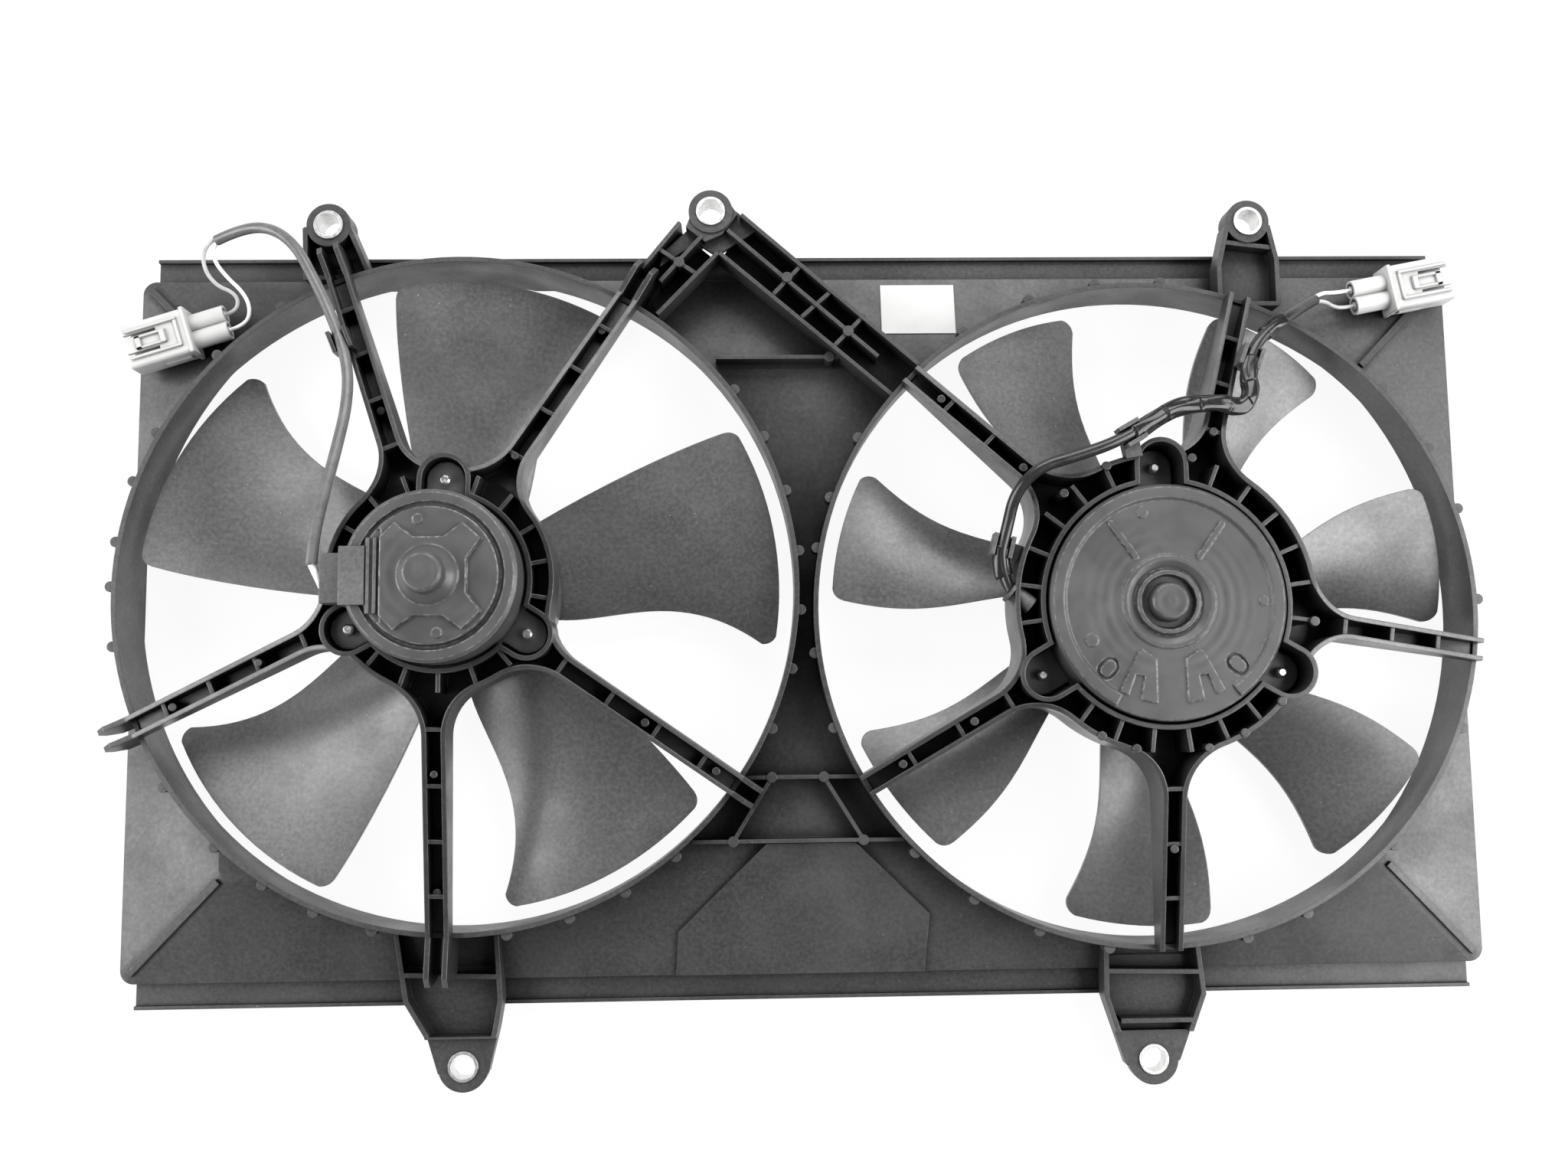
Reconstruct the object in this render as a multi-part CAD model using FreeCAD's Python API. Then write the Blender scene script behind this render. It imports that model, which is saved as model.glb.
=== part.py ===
import FreeCAD, Part

import math
import os

# A twin radiator fan shroud with its motors, lying on the face that meets the radiator.
# +X runs along the wide side, +Y towards the top tabs, +Z to the engine side. Millimetres.

V = FreeCAD.Vector

# Body of the shroud
LEFT_RING_RADIUS = 173.2
RIGHT_RING_RADIUS = 171.3
RING_GAP = 7.0  # between the two rings
LEFT_MARGIN = 2.0  # from the left ring to the side of the body
RIGHT_MARGIN = 7.0
RING_PAST_TOP = 3.2  # how far the left ring stands past the top edge of the deck
RING_TO_BOTTOM = 13.4  # from the right ring to the bottom edge of the deck
LEFT_AXIS_HEIGHT = 23.0
RIGHT_AXIS_HEIGHT = 9.7
BODY_WIDTH = LEFT_MARGIN + 2 * LEFT_RING_RADIUS + RING_GAP + 2 * RIGHT_RING_RADIUS + RIGHT_MARGIN
BODY_TOP = LEFT_AXIS_HEIGHT + LEFT_RING_RADIUS - RING_PAST_TOP
BODY_BOTTOM = RIGHT_AXIS_HEIGHT - RIGHT_RING_RADIUS - RING_TO_BOTTOM
CORNER_RADIUS = 7.0
WALL = 2.5
EDGE_HEIGHT = 10.0  # top of the deck along the edges
DECK_HEIGHT = 20.0  # top of the deck where it is level
HIP_RUN = 52.0  # how far in from the edges the deck becomes level
STRIP_WIDTH = 13.5
STRIP_END_INSET = 6.0
STRIP_FLOOR = 1.5
STRIP_THICKNESS = 2.5
LIP_THICKNESS = 1.8
LIP_HEIGHT = 6.5

# Fan rings
RING_TOP = 40.0
LEFT_AXIS = (LEFT_MARGIN + LEFT_RING_RADIUS - BODY_WIDTH / 2, LEFT_AXIS_HEIGHT)
RIGHT_AXIS = (BODY_WIDTH / 2 - RIGHT_MARGIN - RIGHT_RING_RADIUS, RIGHT_AXIS_HEIGHT)
NECK = LEFT_AXIS[0] + LEFT_RING_RADIUS + RING_GAP / 2  # where the two rings come closest, along X
PIP_RADIUS = 2.7
PIP_DEPTH = 10.0
PIP_PROUD = 0.4  # how far a pip stands above its rib
PIP_OUT = 0.35  # how far a ring's pip stands out from the ring, in its own radii
LEFT_PIPS = (
    6, 16.5, 26.5, 36, 122, 135.5, 152, 161, 171.5, 179, 189, 214, 227, 237, 246.5,
    256.5, 278.5, 289, 299, 309, 335.5, 346, 356,
)
RIGHT_PIPS = (
    1, 17, 28.5, 41.5, 85.5, 97, 109, 122, 148.5, 160, 169, 187, 200, 225, 237.5,
    249.5, 261.5, 285, 296, 315, 338.5,
)

# Motor carriers
CARRIER_WALL = 2.3
CARRIER_FLOOR = 2.0
SPOKE_WIDTH = 11.5
SPOKE_FILLET = 26.0
SPOKE_RIM_TOP = 46.0
SPOKE_RIM_BOTTOM = 36.5
RIB_THICKNESS = 2.0
RIB_PITCH = 27.0
FIRST_RIB = 0.6  # where a spoke's first cross rib stands, in pitches from the hub
LAST_RIB = 0.4  # and how far from the ring the last one may stand
RIB_DROP = 1.0
EAR_THICKNESS = 2.6
EAR_ROOT = 1.0  # how far an ear reaches into its ring's wall
EAR_CORNER = 5.0

# Motors
FLANGE_THICKNESS = 3.0
CAN_WALL = 2.0
FIT_CLEARANCE = 0.02
SHAFT_CLEARANCE = 0.03
CAN_TO_CARRIER = 1.6
MAGNET_THICKNESS = 7.0
AIR_GAP = 0.8
BRUSH_CLEARANCE = 0.4
BEARING_WALL = 3.0
POCKET_CLEARANCE = 1.5
SCREW_CLEARANCE = 0.3
SCREW_HEAD = (4.6, 3.0)  # its radius and its height
SCREW_CHAMFER = 0.8
COMMUTATOR_WALL = 7.0
HOLDER_CLEARANCE = 2.0  # from the commutator to the brush holder
BRUSH_LENGTH = 8.0

# Fans
TIP_CLEARANCE = 7.4
BLADE_THICKNESS = 2.6
BLADE_TIP_ROUND = 7.0
HUB_WALL = 2.5
HUB_ROOT = 1.5  # how far a blade's root runs into the hub's wall
BOSS_WALL = 6.0
HUB_ROUND = 3.0
HUB_BOSS = 12.0  # how far the hub's boss stands up inside it
NUT_SEAT = 2.0  # how far the boss stands out below the hub
NUT_HEIGHT = 5.0
NUT_WALL = 3.5
SHAFT_PAST_NUT = 1.0

# Tabs and bushings
BUSHING_HOLE_RADIUS = 6.1
BUSHING_RADIUS = 7.6
BUSHING_STAND = 1.0  # how far a bushing stands proud of its tab, each side
TAB_WALL = 2.4

LEFT_SPOKES = (60.0, 111.0, 203.1, 267.7, 324.5)
RIGHT_SPOKES = (71.8, 134.5, 211.0, 271.2, 352.1)


def motor_sizes(**sizes):
    """One motor's sizes; what stands round its can is placed from the can's radius."""
    can = sizes["can_radius"]
    sizes["screw_circle"] = can + sizes["screw_out"]
    sizes["hub_radius"] = can + sizes["hub_out"]
    sizes["fan_hub_radius"] = can + sizes["fan_hub_out"]
    return sizes


LEFT = motor_sizes(
    name="left",
    axis=LEFT_AXIS,
    ring_radius=LEFT_RING_RADIUS,
    pips=LEFT_PIPS,
    spokes=LEFT_SPOKES,
    ear_past=(21.3, 18.8, 16.8, 23.8, 11.8),
    hub_out=14.1,
    hub_top=83.0,
    hub_bottom=64.0,
    hub_floor=68.0,
    rib_count=18,
    can_radius=40.4,
    can_top=104.0,
    can_bottom=50.0,
    flange_top=77.0,
    screw_out=8.5,
    screw_angle=88.0,
    screw_radius=2.6,
    screw_top=81.0,
    ear_radius=9.0,
    boss_radius=9.1,
    boss_top=120.0,
    shaft_radius=4.0,
    armature_radius=24.0,
    blade_count=5,
    fan_hub_out=9.6,
    fan_hub_top=45.0,
    fan_hub_bottom=12.0,
)
RIGHT = motor_sizes(
    name="right",
    axis=RIGHT_AXIS,
    ring_radius=RIGHT_RING_RADIUS,
    pips=RIGHT_PIPS,
    spokes=RIGHT_SPOKES,
    ear_past=(13.7, 18.7, 10.7, 16.7, 13.7),
    hub_out=16.5,
    hub_top=73.0,
    hub_bottom=45.0,
    hub_floor=50.0,
    rib_count=24,
    can_radius=58.0,
    can_top=77.0,
    can_bottom=31.0,
    flange_top=56.5,
    screw_out=10.8,
    screw_angle=90.0,
    screw_radius=2.4,
    screw_top=62.0,
    ear_radius=9.5,
    boss_radius=9.1,
    boss_top=80.0,
    shaft_radius=4.0,
    armature_radius=38.0,
    blade_count=7,
    fan_hub_out=6.0,
    fan_hub_top=38.0,
    fan_hub_bottom=12.0,
)


# ---------------------------------------------------------------- helpers
def box(x0, x1, y0, y1, z0, z1):
    return Part.makeBox(x1 - x0, y1 - y0, z1 - z0, V(x0, y0, z0))


def cylinder(centre, radius, z0, z1):
    return Part.makeCylinder(radius, z1 - z0, V(centre[0], centre[1], z0))


def tube(centre, outer, inner, z0, z1):
    return cylinder(centre, outer, z0, z1).cut(cylinder(centre, inner, z0, z1))


def polar(centre, radius, degrees):
    a = math.radians(degrees)
    return (centre[0] + radius * math.cos(a), centre[1] + radius * math.sin(a))


def placed(points, x, y):
    """Points that are given from (x, y), in the part's frame."""
    return tuple((x + a, y + b) for a, b in points)


def placed_lines(lines, x, y):
    return tuple(placed(line, x, y) for line in lines)


def run_from(origin, points):
    """Points of a route that are given from an origin in the plane, with their true heights."""
    return tuple((origin[0] + a, origin[1] + b, z) for a, b, z in points)


def prism(points, z0, z1):
    corners = [V(x, y, z0) for x, y in points]
    face = Part.Face(Part.makePolygon(corners + corners[:1]))
    return face.extrude(V(0, 0, z1 - z0))


def revolved(centre, profile):
    """A solid of revolution about a vertical axis; the profile is (radius, z) corners."""
    corners = [V(centre[0] + r, centre[1], z) for r, z in profile]
    face = Part.Face(Part.makePolygon(corners + corners[:1]))
    return face.revolve(V(centre[0], centre[1], 0), V(0, 0, 1), 360)


def fused(shapes):
    whole = shapes[0].fuse(shapes[1:]) if len(shapes) > 1 else shapes[0]
    return whole.removeSplitter()


def bar(p, q, width, z0, z1):
    """An upright wall of that width from p to q."""
    dx, dy = q[0] - p[0], q[1] - p[1]
    length = math.hypot(dx, dy)
    nx, ny = -dy / length * width / 2, dx / length * width / 2
    corners = [
        (p[0] + nx, p[1] + ny),
        (p[0] - nx, p[1] - ny),
        (q[0] - nx, q[1] - ny),
        (q[0] + nx, q[1] + ny),
    ]
    return prism(corners, z0, z1)


def rounded_rectangle(x0, x1, y0, y1, radius, z):
    """A closed wire with round corners."""
    k = radius * (1 - math.sqrt(0.5))
    lines = [
        (V(x0 + radius, y0, z), V(x1 - radius, y0, z)),
        (V(x1, y0 + radius, z), V(x1, y1 - radius, z)),
        (V(x1 - radius, y1, z), V(x0 + radius, y1, z)),
        (V(x0, y1 - radius, z), V(x0, y0 + radius, z)),
    ]
    middles = [V(x1 - k, y0 + k, z), V(x1 - k, y1 - k, z), V(x0 + k, y1 - k, z), V(x0 + k, y0 + k, z)]
    edges = []
    for i, (start, end) in enumerate(lines):
        edges.append(Part.LineSegment(start, end).toShape())
        following = lines[(i + 1) % 4][0]
        edges.append(Part.Arc(end, middles[i], following).toShape())
    return Part.Wire(edges)


def turned(shape, centre, degrees):
    copy = shape.copy()
    copy.rotate(V(centre[0], centre[1], 0), V(0, 0, 1), degrees)
    return copy


def export(name, shape):
    solids = shape.Solids
    if not solids or not all(s.isValid() and s.Volume > 0 for s in solids):
        raise ValueError(name + " isn't made of valid solids")
    whole = solids[0] if len(solids) == 1 else Part.makeCompound(solids)
    whole.exportStep(os.path.join("parts", name + ".step"))
    print(name, len(solids), "solids", round(sum(s.Volume for s in solids) / 1000, 2), "cm3")


# ---------------------------------------------------------------- shroud panel
def hipped_block(margin, drop):
    """The solid under the deck, shrunk by margin at the sides and by drop at the top."""
    x, y0, y1 = BODY_WIDTH / 2 - margin, BODY_BOTTOM + margin, BODY_TOP - margin
    radius = CORNER_RADIUS - margin
    edge = rounded_rectangle(-x, x, y0, y1, radius, EDGE_HEIGHT - drop)
    run = HIP_RUN - margin
    level = rounded_rectangle(-x + run, x - run, y0 + run, y1 - run, radius, DECK_HEIGHT - drop)
    base = rounded_rectangle(-x, x, y0, y1, radius, 0)
    skirt = Part.Face(base).extrude(V(0, 0, EDGE_HEIGHT - drop))
    return skirt.fuse(Part.makeLoft([edge, level], True, True)).removeSplitter()


def strip(side):
    """The flange strip along the top (+1) or bottom (-1) edge, with its outer lip."""
    x = BODY_WIDTH / 2 - STRIP_END_INSET
    near = BODY_TOP if side > 0 else -BODY_BOTTOM
    far = near + STRIP_WIDTH
    low, high = sorted((side * (near - WALL / 2), side * far))
    plate = box(-x, x, low, high, STRIP_FLOOR, STRIP_FLOOR + STRIP_THICKNESS)
    low, high = sorted((side * (far - LIP_THICKNESS), side * far))
    return plate.fuse(box(-x, x, low, high, 0, LIP_HEIGHT))


def hip_rib(corner_x, corner_y, length):
    """The raised ridge that runs in from a corner of the deck."""
    sx = 1 if corner_x > 0 else -1
    sy = 1 if corner_y > 0 else -1
    start = (corner_x - sx * 5, corner_y - sy * 5)
    end = (corner_x - sx * length, corner_y - sy * length)
    rise = (DECK_HEIGHT - EDGE_HEIGHT) / HIP_RUN
    half = 1.6
    below, above = 1.2, 1.4
    nx, ny = -sy * half * math.sqrt(0.5), sx * half * math.sqrt(0.5)
    rings = []
    for x, y in (start, end):
        deck = EDGE_HEIGHT + rise * abs(corner_x - x)
        points = [
            V(x + nx, y + ny, deck - below),
            V(x - nx, y - ny, deck - below),
            V(x - nx, y - ny, deck + above),
            V(x + nx, y + ny, deck + above),
        ]
        rings.append(Part.makePolygon(points + points[:1]))
    return Part.makeLoft(rings, True, True)


# The crown of the field below the neck, from the neck and the bottom edge of the deck
HUMP_CROWN = ((-63.4, 2.0), (-62.4, 23.0), (-20.4, 65.0), (22.6, 65.0), (57.6, 30.0), (54.6, 2.0))
HUMP_RISE = 2.0  # how far its crown stands above the slope of the deck
HUMP_FLARE = 1.1  # how much wider its foot is than its crown


def hump(inset, drop):
    """The low raised field below the neck; its crown carries on the slope of the deck."""
    crown = placed(HUMP_CROWN, NECK, BODY_BOTTOM)
    x_mid = sum(x for x, _ in crown) / len(crown)
    y_mid = sum(y for _, y in crown) / len(crown)
    rings = []
    for z, spread in ((0.0, HUMP_FLARE), (DECK_HEIGHT + HIP_RUN, 1.0)):
        scale = spread - inset / abs(BODY_BOTTOM - y_mid)
        points = [V(x_mid + (x - x_mid) * scale, y_mid + (y - y_mid) * scale, z) for x, y in crown]
        rings.append(Part.makePolygon(points + points[:1]))
    column = Part.makeLoft(rings, True, True)
    slope = (DECK_HEIGHT - EDGE_HEIGHT) / HIP_RUN
    y0, y1 = BODY_BOTTOM + inset, y_mid + 2 * HIP_RUN
    z0 = EDGE_HEIGHT + HUMP_RISE - drop + slope * inset
    profile = [(y0, 0), (y0, z0), (y1, z0 + slope * (y1 - y0)), (y1, 0)]
    side = [V(-BODY_WIDTH, y, z) for y, z in profile]
    wedge = Part.Face(Part.makePolygon(side + side[:1])).extrude(V(2 * BODY_WIDTH, 0, 0))
    return column.common(wedge)


RIB_TOP = 31.0
LOWER_RIBS = (
    ((-36.4, 101.0), (27.6, 101.0)),
    ((-59.4, 69.0), (48.6, 69.0)),
    ((-18.6, 101.0), (-38.4, 69.0)),
    ((8.0, 101.0), (27.7, 69.0)),
)
UPPER_RIB = ((-45.4, -48.4), (20.2, -48.4))
LOWER_PIPS = ((-18.6, 101.0), (8.0, 101.0), (-38.4, 69.0), (27.7, 69.0))
UPPER_PIPS = ((14.2, -48.4),)


def between_rings():
    """The upright ribs that tie the two rings together, with their round pips."""
    ribs = placed_lines(LOWER_RIBS, NECK, BODY_BOTTOM) + (placed(UPPER_RIB, NECK, BODY_TOP),)
    pips = placed(LOWER_PIPS, NECK, BODY_BOTTOM) + placed(UPPER_PIPS, NECK, BODY_TOP)
    root = DECK_HEIGHT - WALL / 2
    pieces = [bar(p, q, RIB_THICKNESS, root, RIB_TOP) for p, q in ribs]
    return pieces + [cylinder(p, PIP_RADIUS, root, RIB_TOP + PIP_PROUD) for p in pips]


def shroud_panel(keep_out):
    x, y0, y1 = BODY_WIDTH / 2, BODY_BOTTOM, BODY_TOP
    outer = hipped_block(0, 0)
    pieces = [outer, strip(1), strip(-1)]
    pieces += [hip_rib(sx * x, y, HIP_RUN) for sx in (-1, 1) for y in (y0, y1)]
    pieces += between_rings()
    pieces.append(hump(0, 0))
    whole = pieces[0].fuse(pieces[1:])
    whole = whole.cut([hipped_block(WALL, WALL), hump(WALL, WALL)])
    for m in (LEFT, RIGHT):
        whole = whole.cut(cylinder(m["axis"], m["ring_radius"], -1, RING_TOP + 20))
    whole = whole.cut(keep_out)
    solids = sorted(whole.removeSplitter().Solids, key=lambda s: s.Volume)
    return solids[-1]


# ---------------------------------------------------------------- fan rings
def fan_ring(m):
    centre, radius = m["axis"], m["ring_radius"]
    ring = tube(centre, radius, radius - WALL, 0, RING_TOP)
    ring = ring.cut(hipped_block(WALL, WALL))
    pips = []
    for angle in m["pips"]:
        place = polar(centre, radius + PIP_RADIUS * PIP_OUT, angle)
        pips.append(cylinder(place, PIP_RADIUS, RING_TOP - PIP_DEPTH, RING_TOP - 1))
    whole = ring.fuse(pips)
    whole = whole.cut(cylinder(centre, radius - WALL, -1, RING_TOP + 1))
    solids = sorted(whole.removeSplitter().Solids, key=lambda s: s.Volume)
    return solids[-1]


# ---------------------------------------------------------------- motor carriers
def floor_face(shape):
    """The face that a solid stands on, at z = 0."""
    return [f for f in shape.Faces if abs(f.BoundBox.ZMin) < 1e-6 and abs(f.BoundBox.ZMax) < 1e-6][0]


def carrier_outline(m):
    """The carrier's plan: hub disc and spokes."""
    centre = m["axis"]
    pieces = [cylinder(centre, m["hub_radius"], 0, 1)]
    for angle in m["spokes"]:
        root = polar(centre, m["hub_radius"] / 2, angle)
        tip = polar(centre, m["ring_radius"] + SPOKE_WIDTH / 2, angle)
        pieces.append(bar(root, tip, SPOKE_WIDTH, 0, 1))
    return floor_face(fused(pieces))


def spoke_top(m, r):
    t = (r - m["hub_radius"]) / (m["ring_radius"] - m["hub_radius"])
    return m["hub_top"] + (SPOKE_RIM_TOP - m["hub_top"]) * min(max(t, 0), 1)


def spoke_bottom(m, r):
    t = (r - m["hub_radius"]) / (m["ring_radius"] - m["hub_radius"])
    return m["hub_bottom"] + (SPOKE_RIM_BOTTOM - m["hub_bottom"]) * min(max(t, 0), 1)


def lobes(m, radius, z0, z1):
    """A round-ended pocket shape over each of the three screws."""
    shapes = []
    for k in range(3):
        angle = m["screw_angle"] + 120 * k
        tip = polar(m["axis"], m["screw_circle"], angle)
        root = polar(m["axis"], m["can_radius"] - radius / 2, angle)
        shapes.append(cylinder(tip, radius, z0, z1))
        shapes.append(bar(root, tip, 2 * radius, z0, z1))
    return shapes


def hub_ribs(m):
    """The wall round the can and the radial ribs between it and the hub's outer wall."""
    centre, hub, top, bottom = m["axis"], m["hub_radius"], m["hub_top"], m["hub_bottom"]
    bore = m["can_radius"] + CAN_TO_CARRIER
    pieces = [tube(centre, bore + CARRIER_WALL, bore, bottom, top)]
    for k in range(m["rib_count"]):
        angle = (k + 0.5) * 360 / m["rib_count"]
        p = polar(centre, bore + CARRIER_WALL / 2, angle)
        q = polar(centre, hub - CARRIER_WALL / 2, angle)
        pieces.append(bar(p, q, RIB_THICKNESS, bottom + RIB_DROP, top - RIB_DROP))
    return pieces


def spoke_ribs(m):
    """The cross ribs in the spokes' troughs."""
    centre, hub, ring = m["axis"], m["hub_radius"], m["ring_radius"]
    side = (SPOKE_WIDTH - CARRIER_WALL / 2) / 2
    pieces = []
    for angle in m["spokes"]:
        r = hub + RIB_PITCH * FIRST_RIB
        while r < ring - RIB_PITCH * LAST_RIB:
            p = polar(centre, r, angle)
            a, b = polar(p, side, angle + 90), polar(p, side, angle - 90)
            low = spoke_bottom(m, r) + CARRIER_FLOOR / 2
            pieces.append(bar(a, b, RIB_THICKNESS, low, spoke_top(m, r) - RIB_DROP))
            r += RIB_PITCH
    return pieces


def motor_carrier(m):
    centre, hub, ring = m["axis"], m["hub_radius"], m["ring_radius"]
    top, bottom, floor = m["hub_top"], m["hub_bottom"], m["hub_floor"]
    past = top + 1
    grown = carrier_outline(m).makeOffset2D(SPOKE_FILLET)
    rounded = grown.makeOffset2D(-SPOKE_FILLET)
    inner = grown.makeOffset2D(-SPOKE_FILLET - CARRIER_WALL)
    body_profile = [
        (0, bottom), (hub, bottom), (ring, SPOKE_RIM_BOTTOM), (ring, SPOKE_RIM_TOP), (hub, top), (0, top),
    ]
    trough = SPOKE_RIM_BOTTOM + CARRIER_FLOOR
    pocket_profile = [
        (0, floor), (hub, bottom + CARRIER_FLOOR), (ring + 1, trough), (ring + 1, past), (0, past),
    ]
    shell = rounded.extrude(V(0, 0, past)).common(revolved(centre, body_profile))
    shell = shell.cut(inner.extrude(V(0, 0, past)).common(revolved(centre, pocket_profile)))
    pocket_radius = m["ear_radius"] + POCKET_CLEARANCE
    walls = lobes(m, pocket_radius + CARRIER_WALL, bottom, top)
    whole = shell.fuse(hub_ribs(m) + spoke_ribs(m) + walls)
    holes = lobes(m, pocket_radius, m["flange_top"] - FLANGE_THICKNESS, past)
    holes.append(cylinder(centre, m["can_radius"] + CAN_TO_CARRIER, 0, past))
    for k in range(3):
        p = polar(centre, m["screw_circle"], m["screw_angle"] + 120 * k)
        holes.append(cylinder(p, m["screw_radius"] + SCREW_CLEARANCE, 0, past))
    whole = whole.cut(holes).fuse(spoke_ears(m))
    whole = whole.cut(tube(centre, ring, ring - WALL, 0, RING_TOP))
    solids = sorted(whole.removeSplitter().Solids, key=lambda s: s.Volume)
    return solids[-1]


def spoke_ears(m):
    """Each spoke ends in two upright ears that stand outside the ring wall."""
    centre, ring = m["axis"], m["ring_radius"]
    ears = []
    offset = (SPOKE_WIDTH - EAR_THICKNESS) / 2
    for angle, past in zip(m["spokes"], m["ear_past"]):
        for side in (-1, 1):
            x0, x1 = ring - EAR_ROOT, ring + past
            rise = SPOKE_RIM_TOP - DECK_HEIGHT
            points = [
                (x0, DECK_HEIGHT),
                (x1 - 3, DECK_HEIGHT),
                (x1, DECK_HEIGHT + rise * 0.45),
                (x1, SPOKE_RIM_TOP - EAR_CORNER),
                (x1 - EAR_CORNER, SPOKE_RIM_TOP),
                (x0, SPOKE_RIM_TOP),
            ]
            y = side * offset - EAR_THICKNESS / 2
            corners = [V(centre[0] + a, centre[1] + y, b) for a, b in points]
            face = Part.Face(Part.makePolygon(corners + corners[:1]))
            ear = face.extrude(V(0, EAR_THICKNESS, 0))
            ears.append(turned(ear, centre, angle))
    return ears


# ---------------------------------------------------------------- tabs and braces
BRACE_TOP = 38.0
BRACE_FLOOR = 30.0
BRACE_PLATE = 2.5
RAIL = 2.0
CENTRE_HOLE = (NECK - 47.4, BODY_TOP + 27.9)
CENTRE_EAR = 11.5
RAILS_RIGHT = placed_lines((
    ((-31.4, 26.2), (62.3, -56.3)),
    ((-38.6, 18.0), (39.2, -50.1)),
    ((-42.8, 5.6), (46.0, -70.5)),
), NECK, BODY_TOP)
CROSS_RIGHT = placed_lines((
    ((0.0, -0.7), (-15.0, -16.3)),
    ((15.9, -14.4), (-0.4, -28.7)),
    ((32.8, -27.6), (16.6, -43.9)),
), NECK, BODY_TOP)
RAILS_LEFT = placed_lines((
    ((-63.5, 22.2), (-83.5, -2.5)),
    ((-51.9, 15.1), (-74.0, -9.5)),
    ((-44.0, 5.6), (-75.6, -27.1)),
), NECK, BODY_TOP)
CROSS_LEFT = placed_lines((
    ((-73.9, 7.8), (-54.8, -5.5)),
), NECK, BODY_TOP)
BRACE_PIPS = placed(((-7.7, -7.7), (23.9, -36.6), (-64.0, 0.7)), NECK, BODY_TOP)


CENTRE_EYE_BOTTOM = BRACE_FLOOR - 4.0
CENTRE_WEB = (
    (-10.0, -6.0), (-25.0, -20.0), (-27.0, -28.0), (-8.0, -15.0), (3.0, -22.0), (25.0, -8.0), (10.0, 5.0),
)
CENTRE_PAD = ((-11.0, -3.0), (-13.0, -8.0), (-3.0, -16.0), (6.0, -12.0), (14.0, -1.0), (8.0, 8.0))


def centre_brace():
    pieces = [cylinder(CENTRE_HOLE, CENTRE_EAR, CENTRE_EYE_BOTTOM, BRACE_TOP)]
    pieces.append(prism(placed(CENTRE_WEB, *CENTRE_HOLE), BRACE_FLOOR, BRACE_FLOOR + BRACE_PLATE))
    pieces.append(prism(placed(CENTRE_PAD, *CENTRE_HOLE), BRACE_FLOOR, BRACE_TOP - RIB_DROP))
    root = DECK_HEIGHT + BRACE_PLATE / 2
    for p, q in RAILS_RIGHT + RAILS_LEFT:
        pieces.append(bar(p, q, RAIL, root, BRACE_TOP))
    for p, q in CROSS_RIGHT + CROSS_LEFT:
        pieces.append(bar(p, q, RAIL, root, BRACE_TOP - RIB_DROP))
    for p in BRACE_PIPS:
        pieces.append(cylinder(p, PIP_RADIUS, root, BRACE_TOP + PIP_PROUD))
    floor_right = [RAILS_RIGHT[0][0], RAILS_RIGHT[0][1], RAILS_RIGHT[2][1], RAILS_RIGHT[2][0]]
    floor_left = [RAILS_LEFT[0][0], RAILS_LEFT[0][1], RAILS_LEFT[2][1], RAILS_LEFT[2][0]]
    for plate in (floor_right, floor_left):
        pieces.append(prism(plate, DECK_HEIGHT, DECK_HEIGHT + BRACE_PLATE))
    whole = fused(pieces)
    whole = whole.cut(cylinder(CENTRE_HOLE, BUSHING_RADIUS + FIT_CLEARANCE, 0, RING_TOP + 20))
    for m in (LEFT, RIGHT):
        whole = whole.cut(cylinder(m["axis"], m["ring_radius"], 0, RING_TOP + 20))
    return whole


LEFT_TOP_HOLE = (LEFT_AXIS[0] - 71.0, BODY_TOP + 23.3)
RIGHT_TOP_HOLE = (RIGHT_AXIS[0] + 64.0, BODY_TOP + 24.0)
TOP_TAB_TOP = 32.0
LEFT_EYE_BOTTOM = 18.0
RIGHT_EYE_BOTTOM = 20.0
LEG_OVERLAP = 1.0  # how far a tab's leg runs up into its tray
LEFT_LEG_BOTTOM = 4.0
RIGHT_LEG_BOTTOM = 8.0
TOP_EAR = 11.5
LEFT_TOP_OUTLINE = placed(
    ((-83.2, 21.0), (-82.2, -5.0), (-48.7, -5.0), (-60.2, 21.5)),
    LEFT_AXIS[0], BODY_TOP,
)
LEFT_LEG = placed(((-78.7, 13.0), (-78.7, -3.0), (-54.7, -3.0), (-58.7, 13.0)), LEFT_AXIS[0], BODY_TOP)
RIGHT_TOP_OUTLINE = placed(
    ((53.0, 21.0), (47.8, 0.0), (47.8, -21.0), (78.8, -21.0), (78.8, 3.0), (75.0, 21.0)),
    RIGHT_AXIS[0], BODY_TOP,
)
RIGHT_LEG = placed(((52.8, 7.0), (52.8, -19.0), (74.8, -19.0), (74.8, 7.0)), RIGHT_AXIS[0], BODY_TOP)
RIGHT_CROSS = placed(((51.3, 13.0), (76.3, 10.0)), RIGHT_AXIS[0], BODY_TOP)


def tray_tab(outline, hole, ear, floor, top, pad_top):
    """A tab as a shallow tray with upright walls round its outline and a solid eye."""
    pieces = [prism(outline, floor, floor + TAB_WALL)]
    count = len(outline)
    for i in range(count):
        pieces.append(bar(outline[i], outline[(i + 1) % count], TAB_WALL, floor, top))
    for p in outline:
        pieces.append(cylinder(p, TAB_WALL / 2, floor, top))
    pieces.append(cylinder(hole, ear, floor, pad_top))
    return pieces


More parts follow.
